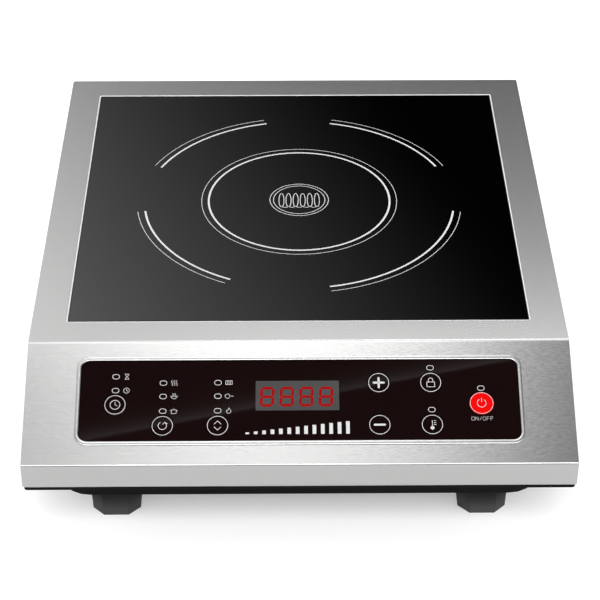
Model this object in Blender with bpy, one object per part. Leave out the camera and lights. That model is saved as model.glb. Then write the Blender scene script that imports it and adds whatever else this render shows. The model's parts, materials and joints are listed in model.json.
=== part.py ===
# Countertop induction hob, built piece by piece. Metres, +Z up, front towards -Y, feet on Z = 0.

import math

import bmesh
import bpy
from mathutils import Matrix

# Fits between pieces
FIT = 0.0003  # pieces that seat on each other
SEAL_FIT = 0.00015  # silicone to glass and steel
BLADE_GAP = 0.0012  # fan blade tips to their bore
KEY_FIT = 0.0003  # key cap to its hole

# Ceramic glass and its silicone seal
GLASS_WIDTH = 0.2860
GLASS_DEPTH = 0.2817
GLASS_THICKNESS = 0.0040
GLASS_CORNER = 0.0008
GLASS_CHAMFER = 0.0004
GLASS_SINK = 0.0001  # glass face below the steel face
SEAL_LINE = 0.0009  # width of the seal seen round the glass
SEAL_SINK = 0.0001  # seal face below the steel face
SEAL_BED = 0.0010
SEAL_BED_WIDTH = 0.0070

# Folded steel shell
FRAME_SIDE = 0.0211  # steel beside, before and behind the glass opening
FRAME_FRONT = 0.0203
FRAME_BACK = 0.02275
SLOPE_RUN = 0.07345
SLOPE_DROP = 0.03673
LIP_HEIGHT = 0.0172
STEEL = 0.0012
RIDGE_RADIUS = 0.0045
FOLD_INSIDE = 0.0004  # inside radius of the other folds
SIDE_RADIUS = 0.0018
RETURN_WIDTH = 0.0120  # inward fold along the lower edge
LEDGE_WIDTH = 0.0090  # welded frame that carries the glass
LEDGE_FLANGE = 0.0080

# Rear air slots in the shell
VENT_COUNT = 22
VENT_WIDTH = 0.0034
VENT_HEIGHT = 0.0240
VENT_PITCH = 0.0090

# Moulded base tray
TRAY_DEPTH = 0.0252
TRAY_WALL = 0.0025
TRAY_FLANGE = 0.0015
TRAY_FLANGE_INSET = 0.0006
TRAY_FLANGE_CORNER = 0.0020
TRAY_INSET_SIDE = 0.0185
TRAY_INSET_END = 0.0225
TRAY_CORNER = 0.0180
TRAY_EDGE = 0.0008

# Feet and their screws
FOOT_HEIGHT = 0.0256
FOOT_WIDTH = 0.0316
FOOT_TAPER = 0.0009
FOOT_CHAMFER = 0.0072
FOOT_INSET_SIDE = 0.0509
FOOT_INSET_END = 0.0484
FOOT_WEB = 0.0060
FOOT_BORE = 0.0052
FOOT_SCREW_RADIUS = 0.0020
FOOT_SCREW_HEAD_RADIUS = 0.0042
FOOT_SCREW_HEAD = 0.0026
FOOT_SCREW_REACH = 0.0030  # thread past the tray floor

# Screws through the tray flange into the shell
CASE_SCREW_RADIUS = 0.0015
CASE_SCREW_HEAD_RADIUS = 0.0030
CASE_SCREW_HEAD = 0.0018
CASE_SCREW_REACH = 0.0040
CASE_SCREW_INSET = 0.0078
CASE_SCREW_SPREAD = 0.1150  # from the middle, towards front and back

# Control panel, set out along the slope from the ridge
PANEL_DROP = 0.0133
PANEL_MARGIN_TOP = 0.0152
PANEL_MARGIN_BOTTOM = 0.0100
PANEL_MARGIN_LEFT = 0.0210
PANEL_MARGIN_RIGHT = 0.0226
PANEL_CORNER = 0.0050
PANEL_STEP = 0.0030  # flange of the panel plate behind the steel
PANEL_FLANGE = 0.0018
BEZEL_WIDTH = 0.0025
BEZEL_HEIGHT = 0.0007
BEZEL_ROUND = 0.0003
KEY_ROW_PITCH = 0.0139
COLUMN_TIMER = -0.1106
COLUMN_AUTO = -0.0819
COLUMN_SELECT = -0.0490
COLUMN_LEVEL = 0.0479
COLUMN_LOCK = 0.0793
COLUMN_POWER = 0.1094
KEY_RADIUS = 0.0068
POWER_KEY_RADIUS = 0.0073
KEY_SKIRT = 0.0006
KEY_SKIRT_THICKNESS = 0.0010
KEY_TRAVEL = 0.0005
KEY_STOP_GAP = 0.00015  # left between key and switch when pressed
SWITCH_SIZE = 0.0060
SWITCH_HEIGHT = 0.0043
DISPLAY_X = -0.0012
DISPLAY_RISE = 0.0056  # above the middle row of keys
DISPLAY_WIDTH = 0.0502
DISPLAY_HEIGHT = 0.0196
DISPLAY_WINDOW = 0.0010
BOARD_THICKNESS = 0.0016
CONTROL_BOARD_INSET = 0.0050
PANEL_BOSS_RADIUS = 0.0022
PANEL_BOSS_INSET = 0.0085
BUZZER_RADIUS = 0.0060
BUZZER_HEIGHT = 0.0060

# Induction coil, stacked down from the glass
COIL_TURNS = 16
COIL_POINTS = 24  # points in one turn
COIL_INNER_RADIUS = 0.0280
COIL_PITCH = 0.0046
COIL_WIRE = 0.0038
MICA_GAP = 0.0056
MICA_THICKNESS = 0.0006
MICA_HOLE = 0.0160
CARRIER_THICKNESS = 0.0060
CARRIER_RIM = 0.0060
FERRITE_COUNT = 6
FERRITE_LENGTH = 0.0600
FERRITE_WIDTH = 0.0150
FERRITE_THICKNESS = 0.0050
FERRITE_INNER_RADIUS = 0.0330
POST_RADIUS = 0.0045
POST_BASE_RADIUS = 0.0060
POST_BASE = 0.0030
POST_RIM = 0.0060  # post axis in from the carrier's edge
POST_BOARD_GAP = 0.0040  # foot of the back post to the power board
SENSOR_BASE_RADIUS = 0.0140
SENSOR_BASE = 0.0020
SENSOR_RADIUS = 0.0060

# Cooling fan on the tray floor
FAN_SIZE = 0.0800
FAN_HEIGHT = 0.0254
FAN_CORNER = 0.0050
FAN_RIM = 0.0020  # least wall round the bore
FAN_HUB_RADIUS = 0.0170
FAN_PLATE = 0.0030
FAN_ARM_WIDTH = 0.0050
FAN_BLADES = 7
FAN_BLADE_THICKNESS = 0.0018
FAN_BLADE_TILT = 40.0
FAN_TOP_GAP = 0.0020
FAN_WALL_GAP = 0.0040
FAN_BEHIND = 0.0100  # fan centre behind the coil centre
INTAKE_PITCH = 0.0080
INTAKE_WIDTH = 0.0038
INTAKE_MARGIN = 0.0040

# Power board and what stands on it
POWER_BOARD_WIDTH = 0.1300
POWER_BOARD_DEPTH = 0.1500
POWER_BOARD_SIDE_GAP = 0.0040
POWER_BOARD_BACK_GAP = 0.0220
BOARD_BOSS_HEIGHT = 0.0060
BOARD_BOSS_RADIUS = 0.0035
BOARD_BOSS_INSET = 0.0080
PART_MARGIN = 0.0060  # parts to the edge of the board, and to each other
SINK_LENGTH = 0.1000
SINK_WIDTH = 0.0460
SINK_HEIGHT = 0.0220
SINK_BASE = 0.0040
SINK_FINS = 8
SINK_FIN = 0.0016
TRANSISTOR_WIDTH = 0.0160
TRANSISTOR_DEPTH = 0.0050
TRANSISTOR_HEIGHT = 0.0200
RECTIFIER_WIDTH = 0.0300
RECTIFIER_DEPTH = 0.0048
RECTIFIER_HEIGHT = 0.0200
CAPACITOR_WIDTH = 0.0420
CAPACITOR_DEPTH = 0.0200
CAPACITOR_HEIGHT = 0.0210
RESONANT_WIDTH = 0.0380
RESONANT_DEPTH = 0.0180
RESONANT_HEIGHT = 0.0200
CHOKE_RADIUS = 0.0110
CHOKE_SECTION = 0.0045
TRANSFORMER_WIDTH = 0.0240
TRANSFORMER_DEPTH = 0.0200
TRANSFORMER_HEIGHT = 0.0180
PART_EDGE = 0.0008

# Mains entry
GLAND_X = -0.0600
GLAND_BORE = 0.0046
GLAND_RADIUS = 0.0060
GLAND_FLANGE_RADIUS = 0.0078
GLAND_FLANGE = 0.0030
GLAND_NOSE_RADIUS = 0.0064
GLAND_NOSE = 0.0140
GLAND_NUT = 0.0050
GLAND_NUT_WALL = 0.0022
GLAND_THREAD = 0.0030  # thread past the nut
TERMINAL_WIDTH = 0.0400
TERMINAL_DEPTH = 0.0200
TERMINAL_HEIGHT = 0.0180
TERMINAL_STEP = 0.0070
TERMINAL_BACK_GAP = 0.0280

# Levels and outlines worked out from the sizes above
TRAY_TOP = FOOT_HEIGHT + TRAY_DEPTH
SHELL_BOTTOM = TRAY_TOP + FIT
TOP = SHELL_BOTTOM + LIP_HEIGHT + SLOPE_DROP
FLOOR = FOOT_HEIGHT + TRAY_WALL
OPENING_WIDTH = GLASS_WIDTH + 2 * SEAL_LINE
OPENING_DEPTH = GLASS_DEPTH + 2 * SEAL_LINE
BODY_WIDTH = OPENING_WIDTH + 2 * FRAME_SIDE
TOP_DEPTH = FRAME_FRONT + OPENING_DEPTH + FRAME_BACK
BODY_DEPTH = SLOPE_RUN + TOP_DEPTH
FRONT = -BODY_DEPTH / 2
BACK = BODY_DEPTH / 2
RIDGE = FRONT + SLOPE_RUN
GLASS_Y = RIDGE + FRAME_FRONT + OPENING_DEPTH / 2
GLASS_TOP = TOP - GLASS_SINK
GLASS_BOTTOM = GLASS_TOP - GLASS_THICKNESS
LEDGE_TOP = GLASS_BOTTOM - SEAL_BED
TRAY_HALF_X = BODY_WIDTH / 2 - TRAY_INSET_SIDE
TRAY_HALF_Y = BODY_DEPTH / 2 - TRAY_INSET_END

SLOPE_ANGLE = math.atan2(SLOPE_DROP, SLOPE_RUN)
PANEL_WIDTH = COLUMN_POWER - COLUMN_TIMER + PANEL_MARGIN_LEFT + PANEL_MARGIN_RIGHT
PANEL_HEIGHT = PANEL_MARGIN_TOP + 2 * KEY_ROW_PITCH + PANEL_MARGIN_BOTTOM
PANEL_X = (COLUMN_POWER + PANEL_MARGIN_RIGHT + COLUMN_TIMER - PANEL_MARGIN_LEFT) / 2
PANEL_RUN = PANEL_DROP + PANEL_HEIGHT / 2  # ridge to panel centre, along the slope
ROW_LOWER = PANEL_MARGIN_BOTTOM - PANEL_HEIGHT / 2
ROW_MIDDLE = ROW_LOWER + KEY_ROW_PITCH
ROW_UPPER = ROW_MIDDLE + KEY_ROW_PITCH
DISPLAY_Y = ROW_MIDDLE + DISPLAY_RISE
PLATE_STEP_Z = -STEEL - FIT  # heights in the panel's own frame, its face at 0
PLATE_BACK_Z = PLATE_STEP_Z - PANEL_FLANGE
SKIRT_BACK_Z = PLATE_BACK_Z - FIT - KEY_SKIRT_THICKNESS
SWITCH_TOP_Z = SKIRT_BACK_Z - KEY_TRAVEL - KEY_STOP_GAP
CONTROL_BOARD_Z = SWITCH_TOP_Z - SWITCH_HEIGHT
KEYS = (
    ("key_timer", COLUMN_TIMER, ROW_MIDDLE, KEY_RADIUS),
    ("key_auto", COLUMN_AUTO, ROW_LOWER, KEY_RADIUS),
    ("key_select", COLUMN_SELECT, ROW_LOWER, KEY_RADIUS),
    ("key_plus", COLUMN_LEVEL, ROW_UPPER, KEY_RADIUS),
    ("key_minus", COLUMN_LEVEL, ROW_LOWER, KEY_RADIUS),
    ("key_lock", COLUMN_LOCK, ROW_UPPER, KEY_RADIUS),
    ("key_temp", COLUMN_LOCK, ROW_LOWER, KEY_RADIUS),
    ("key_power", COLUMN_POWER, ROW_MIDDLE, POWER_KEY_RADIUS),
)

MICA_TOP = GLASS_BOTTOM - MICA_GAP
COIL_TOP = MICA_TOP - MICA_THICKNESS - FIT
COIL_CENTRE_Z = COIL_TOP - COIL_WIRE / 2
CARRIER_TOP = COIL_TOP - COIL_WIRE - FIT
CARRIER_BOTTOM = CARRIER_TOP - CARRIER_THICKNESS
COIL_OUTER_RADIUS = COIL_INNER_RADIUS + COIL_TURNS * COIL_PITCH + COIL_WIRE / 2
CARRIER_RADIUS = COIL_OUTER_RADIUS + CARRIER_RIM

FAN_X = -(TRAY_HALF_X - TRAY_WALL - FAN_WALL_GAP - FAN_SIZE / 2)
FAN_Y = GLASS_Y + FAN_BEHIND
FAN_BOTTOM = FLOOR + FIT
FAN_BORE = FAN_SIZE / 2 - FAN_RIM
BOARD_X = TRAY_HALF_X - TRAY_WALL - POWER_BOARD_SIDE_GAP - POWER_BOARD_WIDTH / 2
BOARD_Y = TRAY_HALF_Y - TRAY_WALL - POWER_BOARD_BACK_GAP - POWER_BOARD_DEPTH / 2
BOARD_Z = FLOOR + BOARD_BOSS_HEIGHT + FIT
POST_CIRCLE = CARRIER_RADIUS - POST_RIM
BACK_POST_X = BOARD_X - POWER_BOARD_WIDTH / 2 - POST_BOARD_GAP - POST_BASE_RADIUS
POST_ANGLES = (math.degrees(math.acos(BACK_POST_X / POST_CIRCLE)), 240, 300)
GLAND_Z = FLOOR + (TRAY_DEPTH - TRAY_WALL - TRAY_FLANGE) / 2

ROUND_STEPS = 20
SMOOTH_ANGLE = math.radians(35)
OVERLAP = 0.0010  # how far joined shapes and cutters run into each other
LEAST_CORNER = 0.0004

# Colour, roughness and metallic value of each finish
STEEL_FINISH = ((0.62, 0.62, 0.61), 0.32, 1.0)
ZINC_FINISH = ((0.55, 0.56, 0.57), 0.40, 1.0)
CHROME_FINISH = ((0.78, 0.78, 0.78), 0.12, 1.0)
GLASS_FINISH = ((0.010, 0.010, 0.011), 0.06, 0.0)
SILICONE_FINISH = ((0.62, 0.62, 0.60), 0.55, 0.0)
BLACK_FINISH = ((0.016, 0.016, 0.017), 0.50, 0.0)
FOOT_FINISH = ((0.030, 0.030, 0.031), 0.62, 0.0)
PANEL_FINISH = ((0.010, 0.007, 0.007), 0.22, 0.0)
RED_FINISH = ((0.80, 0.005, 0.005), 0.35, 0.0)
WINDOW_FINISH = ((0.10, 0.10, 0.10), 0.12, 0.0)
BOARD_FINISH = ((0.02, 0.14, 0.05), 0.45, 0.0)
COPPER_FINISH = ((0.60, 0.25, 0.10), 0.42, 1.0)
FERRITE_FINISH = ((0.05, 0.05, 0.055), 0.60, 0.0)
MICA_FINISH = ((0.62, 0.58, 0.48), 0.50, 0.0)
ALUMINIUM_FINISH = ((0.72, 0.73, 0.74), 0.38, 1.0)
CREAM_FINISH = ((0.70, 0.68, 0.60), 0.50, 0.0)
YELLOW_FINISH = ((0.65, 0.45, 0.04), 0.45, 0.0)


def clear_scene():
    for old in list(bpy.data.objects):
        bpy.data.objects.remove(old, do_unlink=True)


def link_object(name, data, parent=None, place=(0, 0, 0), turn=(0, 0, 0)):
    made = bpy.data.objects.new(name, data)
    made.parent = parent
    made.location = place
    made.rotation_euler = turn
    bpy.context.scene.collection.objects.link(made)
    return made


def make_material(name, finish):
    colour, roughness, metallic = finish
    made = bpy.data.materials.new(name)
    made.use_nodes = True
    shader = made.node_tree.nodes["Principled BSDF"]
    shader.inputs["Base Color"].default_value = (*colour, 1.0)
    shader.inputs["Roughness"].default_value = roughness
    shader.inputs["Metallic"].default_value = metallic
    made.diffuse_color = (*colour, 1.0)
    return made


def mesh_of(name, shape):
    bmesh.ops.recalc_face_normals(shape, faces=shape.faces)
    mesh = bpy.data.meshes.new(name)
    shape.to_mesh(mesh)
    shape.free()
    return mesh


def add_piece(name, shape, finish, parent=None, place=(0, 0, 0), turn=(0, 0, 0)):
    mesh = mesh_of(name, shape)
    mesh.materials.append(make_material(name, finish))
    mesh.shade_smooth()
    mesh.set_sharp_from_angle(angle=SMOOTH_ANGLE)
    return link_object(name, mesh, parent, place, turn)


def add_boolean(piece, name, shape, operation, parent=None, place=(0, 0, 0), turn=(0, 0, 0)):
    helper = link_object(name, mesh_of(name, shape), parent, place, turn)
    helper.hide_render = True
    helper.display_type = "WIRE"
    modifier = piece.modifiers.new(name, "BOOLEAN")
    modifier.operation = operation
    modifier.object = helper


def cut(piece, name, shape, **where):
    add_boolean(piece, name, shape, "DIFFERENCE", **where)


def join(piece, name, shape, **where):
    add_boolean(piece, name, shape, "UNION", **where)


def rounded_outline(half_x, half_y, radius, steps=3, centre=(0, 0)):
    points = []
    for quarter, (side_x, side_y) in enumerate(((1, 1), (-1, 1), (-1, -1), (1, -1))):
        for step in range(steps + 1):
            angle = math.pi / 2 * (quarter + step / steps)
            x = centre[0] + side_x * (half_x - radius) + radius * math.cos(angle)
            y = centre[1] + side_y * (half_y - radius) + radius * math.sin(angle)
            points.append((x, y))
    return points


def circle_outline(radius, steps=ROUND_STEPS, centre=(0, 0)):
    turns = [2 * math.pi * step / steps for step in range(steps)]
    return [(centre[0] + radius * math.cos(a), centre[1] + radius * math.sin(a)) for a in turns]


def at_height(outline, z):
    return [(x, y, z) for x, y in outline]


def loft(rings, endless=False, shape=None):
    # Skins rings of equally many points. An endless loft joins its last ring to its first.
    shape = shape or bmesh.new()
    loops = [[shape.verts.new(point) for point in ring] for ring in rings]
    pairs = list(zip(loops, loops[1:]))
    if endless:
        pairs.append((loops[-1], loops[0]))
    else:
        shape.faces.new(loops[0][::-1])
        shape.faces.new(loops[-1])
    for low, high in pairs:
        for here, after in zip(range(len(low)), [*range(1, len(low)), 0]):
            shape.faces.new((low[here], low[after], high[after], high[here]))
    return shape


def slab(outline, low, high, shape=None):
    return loft([at_height(outline, low), at_height(outline, high)], shape=shape)


def slabs(outlines, low, high):
    shape = bmesh.new()
    for outline in outlines:
        slab(outline, low, high, shape)
    return shape


def block(size_x, size_y, low, high, edge=0.0, centre=(0, 0)):
    half_x, half_y = size_x / 2, size_y / 2
    corners = ((half_x, half_y), (-half_x, half_y), (-half_x, -half_y), (half_x, -half_y))
    shape = slab([(centre[0] + x, centre[1] + y) for x, y in corners], low, high)
    if edge:
        bmesh.ops.bevel(shape, geom=shape.edges, offset=edge, segments=1, affect="EDGES")
    return shape


def turned(profile, steps=ROUND_STEPS):
    # Turns (radius, height) points about Z. The profile starts and ends on the axis, or closes.
    shape = bmesh.new()
    points = [shape.verts.new((radius, 0, height)) for radius, height in profile]
    lines = [shape.edges.new(pair) for pair in zip(points, points[1:])]
    bmesh.ops.spin(
        shape, geom=points + lines, axis=(0, 0, 1), cent=(0, 0, 0), angle=2 * math.pi, steps=steps
    )
    bmesh.ops.remove_doubles(shape, verts=shape.verts, dist=1e-6)
    return shape


def rod(radius, low, high, steps=ROUND_STEPS):
    return turned(((0, high), (radius, high), (radius, low), (0, low)), steps)


def screw_shape(radius, head_radius, head, length, steps=12):
    # Head down, its bearing face at 0, the thread running up.
    profile = ((0, length), (radius, length), (radius, 0), (head_radius, 0), (head_radius, -head), (0, -head))
    return turned(profile, steps)


def ring_of(half_x, half_y, corner, profile, steps=3):
    # Sweeps (outward offset, height) points round a rounded rectangle.
    rings = []
    for offset, height in profile:
        radius = max(corner + offset, LEAST_CORNER)
        outline = rounded_outline(half_x + offset, half_y + offset, radius, steps)
        rings.append(at_height(outline, height))
    return loft(rings, endless=True)


def filleted(points, radii, steps=3):
    # Rounds each corner of a convex outline, given as (a, b) points in order, by its own radius.
    rounded = []
    neighbours = zip([points[-1], *points], points, [*points[1:], points[0]], radii)
    for before, corner, after, radius in neighbours:
        to_before = math.atan2(before[1] - corner[1], before[0] - corner[0])
        to_after = math.atan2(after[1] - corner[1], after[0] - corner[0])
        opening = (to_after - to_before + math.pi) % (2 * math.pi) - math.pi
        middle = to_before + opening / 2
        reach = radius / math.sin(abs(opening) / 2)
        centre = (corner[0] + reach * math.cos(middle), corner[1] + reach * math.sin(middle))
        sweep = math.copysign(math.pi - abs(opening), -opening)
        start = middle + math.pi - sweep / 2
        for step in range(steps + 1):
            angle = start + sweep * step / steps
            rounded.append((centre[0] + radius * math.cos(angle), centre[1] + radius * math.sin(angle)))
    return rounded


def both_sides(*places):
    return [(side * x, end * y) for x, y in places for side in (-1, 1) for end in (-1, 1)]


def make_shell():
    fold = STEEL + FOLD_INSIDE
    profile = filleted(
        (
            (BACK, SHELL_BOTTOM),
            (BACK, TOP),
            (RIDGE, TOP),
            (FRONT, TOP - SLOPE_DROP),
            (FRONT, SHELL_BOTTOM),
        ),
        (fold, fold, RIDGE_RADIUS, fold, fold),
    )
    half = BODY_WIDTH / 2
    shape = loft([[(side * half, y, z) for y, z in profile] for side in (-1, 1)])
    rims = [edge for edge in shape.edges if abs(sum(v.co.x for v in edge.verts)) > half]
    bmesh.ops.bevel(shape, geom=rims, offset=SIDE_RADIUS, segments=2, profile=0.5, affect="EDGES")
    lowest = [face for face in shape.faces if face.calc_center_median().z < SHELL_BOTTOM + FIT]
    underside = max(lowest, key=lambda face: face.calc_area())
    bmesh.ops.inset_individual(shape, faces=[underside], thickness=RETURN_WIDTH)
    bmesh.ops.delete(shape, geom=[underside], context="FACES")
    shell = add_piece("steel_shell", shape, STEEL_FINISH)
    sheet = shell.modifiers.new("sheet", "SOLIDIFY")
    sheet.thickness = STEEL
    sheet.offset = -1
    sheet.use_even_offset = True

    opening = rounded_outline(
        OPENING_WIDTH / 2, OPENING_DEPTH / 2, GLASS_CORNER + SEAL_LINE, centre=(0, GLASS_Y)
    )
    cut(shell, "glass_opening", slab(opening, TOP - STEEL - OVERLAP, TOP + OVERLAP))

    window = rounded_outline(PANEL_WIDTH / 2 + FIT, PANEL_HEIGHT / 2 + FIT, PANEL_CORNER + FIT)
    cut(shell, "panel_window", slab(window, -STEEL - OVERLAP, OVERLAP), parent=panel_frame)

    first = -VENT_PITCH * (VENT_COUNT - 1) / 2
    round_end = VENT_WIDTH / 2 - FIT / 2
    slots = [
        rounded_outline(VENT_WIDTH / 2, VENT_HEIGHT / 2, round_end, 2, (first + n * VENT_PITCH, 0))
        for n in range(VENT_COUNT)
    ]
    middle = (TOP + SHELL_BOTTOM) / 2
    cut(
        shell,
        "rear_slots",
        slabs(slots, -STEEL - OVERLAP, OVERLAP),
        place=(0, BACK, middle),
        turn=(-math.pi / 2, 0, 0),
    )
    holes = [
        circle_outline(CASE_SCREW_RADIUS + FIT, 12, place)
        for place in both_sides((BODY_WIDTH / 2 - CASE_SCREW_INSET, CASE_SCREW_SPREAD))
    ]
    cut(shell, "case_screw_holes", slabs(holes, SHELL_BOTTOM - OVERLAP, SHELL_BOTTOM + STEEL + OVERLAP))


def make_glass():
    half_x, half_y = GLASS_WIDTH / 2, GLASS_DEPTH / 2
    outline = rounded_outline(half_x, half_y, GLASS_CORNER)
    inner = rounded_outline(half_x - GLASS_CHAMFER, half_y - GLASS_CHAMFER, GLASS_CORNER - GLASS_CHAMFER / 2)
    rings = (
        at_height(inner, GLASS_BOTTOM),
        at_height(outline, GLASS_BOTTOM + GLASS_CHAMFER),
        at_height(outline, GLASS_TOP - GLASS_CHAMFER),
        at_height(inner, GLASS_TOP),
    )
    centre = (0, GLASS_Y, 0)
    add_piece("glass_plate", loft(rings), GLASS_FINISH, place=centre)

    strip_in, strip_out = SEAL_FIT, SEAL_LINE - SEAL_FIT
    bed_low, bed_high = LEDGE_TOP + SEAL_FIT, GLASS_BOTTOM - SEAL_FIT
    seal = (
        (-SEAL_BED_WIDTH, bed_low),
        (strip_out, bed_low),
        (strip_out, TOP - SEAL_SINK),
        (strip_in, TOP - SEAL_SINK),
        (strip_in, bed_high),
        (-SEAL_BED_WIDTH, bed_high),
    )
    add_piece("glass_seal", ring_of(half_x, half_y, GLASS_CORNER, seal), SILICONE_FINISH, place=centre)

    inside = SEAL_LINE + FIT
    outside = inside + STEEL
    flange_top = TOP - STEEL - FIT
    ledge = (
        (-LEDGE_WIDTH, LEDGE_TOP - STEEL),
        (outside, LEDGE_TOP - STEEL),
        (outside, flange_top - STEEL),
        (outside + LEDGE_FLANGE, flange_top - STEEL),
        (outside + LEDGE_FLANGE, flange_top),
        (inside, flange_top),
        (inside, LEDGE_TOP),
        (-LEDGE_WIDTH, LEDGE_TOP),
    )
    add_piece("glass_frame", ring_of(half_x, half_y, GLASS_CORNER, ledge), ZINC_FINISH, place=centre)


def make_tray():
    flange_x = BODY_WIDTH / 2 - TRAY_FLANGE_INSET
    flange_y = BODY_DEPTH / 2 - TRAY_FLANGE_INSET
    inner = (TRAY_HALF_X - TRAY_WALL, TRAY_HALF_Y - TRAY_WALL, TRAY_CORNER - TRAY_WALL)
    bottom = (TRAY_HALF_X - TRAY_EDGE, TRAY_HALF_Y - TRAY_EDGE, TRAY_CORNER - TRAY_EDGE)
    outer = (TRAY_HALF_X, TRAY_HALF_Y, TRAY_CORNER)
    flange = (flange_x, flange_y, TRAY_FLANGE_CORNER)
    levels = (
        (bottom, FOOT_HEIGHT),
        (outer, FOOT_HEIGHT + TRAY_EDGE),
        (outer, TRAY_TOP - TRAY_FLANGE),
        (flange, TRAY_TOP - TRAY_FLANGE),
        (flange, TRAY_TOP),
        (inner, TRAY_TOP),
        (inner, FLOOR),
    )
    rings = [at_height(rounded_outline(*outline, steps=5), z) for outline, z in levels]
    tray = add_piece("base_tray", loft(rings), BLACK_FINISH)

    bosses = [circle_outline(BOARD_BOSS_RADIUS, 10, (BOARD_X + x, BOARD_Y + y)) for x, y in board_corners()]
    join(tray, "board_bosses", slabs(bosses, FLOOR - OVERLAP, FLOOR + BOARD_BOSS_HEIGHT))

    screws = [circle_outline(FOOT_SCREW_RADIUS + FIT, 12, place) for place in foot_places()]
    cut(tray, "foot_screw_holes", slabs(screws, FOOT_HEIGHT - OVERLAP, FLOOR + OVERLAP))
    screws = [
        circle_outline(CASE_SCREW_RADIUS + FIT, 12, place)
        for place in both_sides((BODY_WIDTH / 2 - CASE_SCREW_INSET, CASE_SCREW_SPREAD))
    ]
    cut(tray, "flange_holes", slabs(screws, TRAY_TOP - TRAY_FLANGE - OVERLAP, TRAY_TOP + OVERLAP))

    reach = FAN_BORE - INTAKE_MARGIN
    side = int(reach / INTAKE_PITCH)
    slots = []
    for n in range(-side, side + 1):
        x = n * INTAKE_PITCH
        half_y = math.sqrt(reach * reach - x * x)
        if half_y > INTAKE_WIDTH:
            slots.append(
                rounded_outline(INTAKE_WIDTH / 2, half_y, INTAKE_WIDTH / 2 - FIT / 2, 2, (FAN_X + x, FAN_Y))
            )
    cut(tray, "air_intake", slabs(slots, FOOT_HEIGHT - OVERLAP, FLOOR + OVERLAP))
    cut(
        tray,
        "gland_hole",
        rod(GLAND_RADIUS + FIT, -TRAY_WALL - OVERLAP, OVERLAP),
        place=(GLAND_X, TRAY_HALF_Y, GLAND_Z),
        turn=(-math.pi / 2, 0, 0),
    )


def board_corners():
    return both_sides(
        (POWER_BOARD_WIDTH / 2 - BOARD_BOSS_INSET, POWER_BOARD_DEPTH / 2 - BOARD_BOSS_INSET)
    )


def foot_places():
    return both_sides((BODY_WIDTH / 2 - FOOT_INSET_SIDE, BODY_DEPTH / 2 - FOOT_INSET_END))


def make_feet():
    foot_top = FOOT_HEIGHT - FIT
    half = FOOT_WIDTH / 2
    low = half - FOOT_TAPER
    web_low = foot_top - FOOT_WEB
    thread = FOOT_WEB + 2 * FIT + TRAY_WALL + FOOT_SCREW_REACH
    for place, where in zip(foot_places(), ("front_left", "back_left", "front_right", "back_right")):
        rings = (
            at_height(rounded_outline(low, low, FOOT_CHAMFER, 1), 0),
            at_height(rounded_outline(half, half, FOOT_CHAMFER, 1), foot_top),
        )
        centre = (*place, 0)
        foot = add_piece("foot_" + where, loft(rings), FOOT_FINISH, place=centre)
        cut(foot, "foot_bore_" + where, rod(FOOT_BORE, -OVERLAP, web_low, 16), place=centre)
        hole = rod(FOOT_SCREW_RADIUS + FIT, web_low - OVERLAP, foot_top + OVERLAP, 12)
        cut(foot, "foot_hole_" + where, hole, place=centre)
        screw = screw_shape(FOOT_SCREW_RADIUS, FOOT_SCREW_HEAD_RADIUS, FOOT_SCREW_HEAD, thread)
        add_piece("foot_screw_" + where, screw, ZINC_FINISH, place=(*place, web_low - FIT))


def make_case_screws():
    places = both_sides((BODY_WIDTH / 2 - CASE_SCREW_INSET, CASE_SCREW_SPREAD))
    seat = TRAY_TOP - TRAY_FLANGE - FIT
    thread = 2 * FIT + TRAY_FLANGE + STEEL + CASE_SCREW_REACH
    for place, where in zip(places, ("front_left", "back_left", "front_right", "back_right")):
        screw = screw_shape(CASE_SCREW_RADIUS, CASE_SCREW_HEAD_RADIUS, CASE_SCREW_HEAD, thread)
        add_piece("case_screw_" + where, screw, ZINC_FINISH, place=(*place, seat))


def make_panel():
    half_x, half_y = PANEL_WIDTH / 2, PANEL_HEIGHT / 2
    face = rounded_outline(half_x, half_y, PANEL_CORNER)
    back = rounded_outline(half_x + PANEL_STEP, half_y + PANEL_STEP, PANEL_CORNER + PANEL_STEP)
    rings = (
        at_height(back, PLATE_BACK_Z),
        at_height(back, PLATE_STEP_Z),
        at_height(face, PLATE_STEP_Z),
        at_height(face, 0),
    )
    plate = add_piece("panel_plate", loft(rings), PANEL_FINISH, parent=panel_frame)
    boss_x, boss_y = half_x - PANEL_BOSS_INSET, half_y - PANEL_BOSS_INSET
    bosses = [circle_outline(PANEL_BOSS_RADIUS, 10, place) for place in both_sides((boss_x, boss_y))]
    join(
        plate,
        "panel_bosses",
        slabs(bosses, CONTROL_BOARD_Z + FIT, PLATE_BACK_Z + OVERLAP),
        parent=panel_frame,
    )
    holes = [
        circle_outline(radius + KEY_FIT, ROUND_STEPS, (x - PANEL_X, y)) for _, x, y, radius in KEYS
    ]
    cut(plate, "key_holes", slabs(holes, PLATE_BACK_Z - OVERLAP, OVERLAP), parent=panel_frame)
    display = block(
        DISPLAY_WIDTH + 2 * FIT,
        DISPLAY_HEIGHT + 2 * FIT,
        PLATE_BACK_Z - OVERLAP,
        OVERLAP,
        centre=(DISPLAY_X - PANEL_X, DISPLAY_Y),
    )
    cut(plate, "display_hole", display, parent=panel_frame)

    inside, outside = FIT, FIT + BEZEL_WIDTH
    shoulder = BEZEL_HEIGHT - BEZEL_ROUND
    bead = (
        (inside, FIT),
        (outside, FIT),
        (outside, shoulder),
        (outside - BEZEL_ROUND, BEZEL_HEIGHT),
        (inside + BEZEL_ROUND, BEZEL_HEIGHT),
        (inside, shoulder),
    )
    bezel = ring_of(half_x, half_y, PANEL_CORNER, bead, steps=4)
    add_piece("panel_bezel", bezel, CHROME_FINISH, parent=panel_frame)


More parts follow.
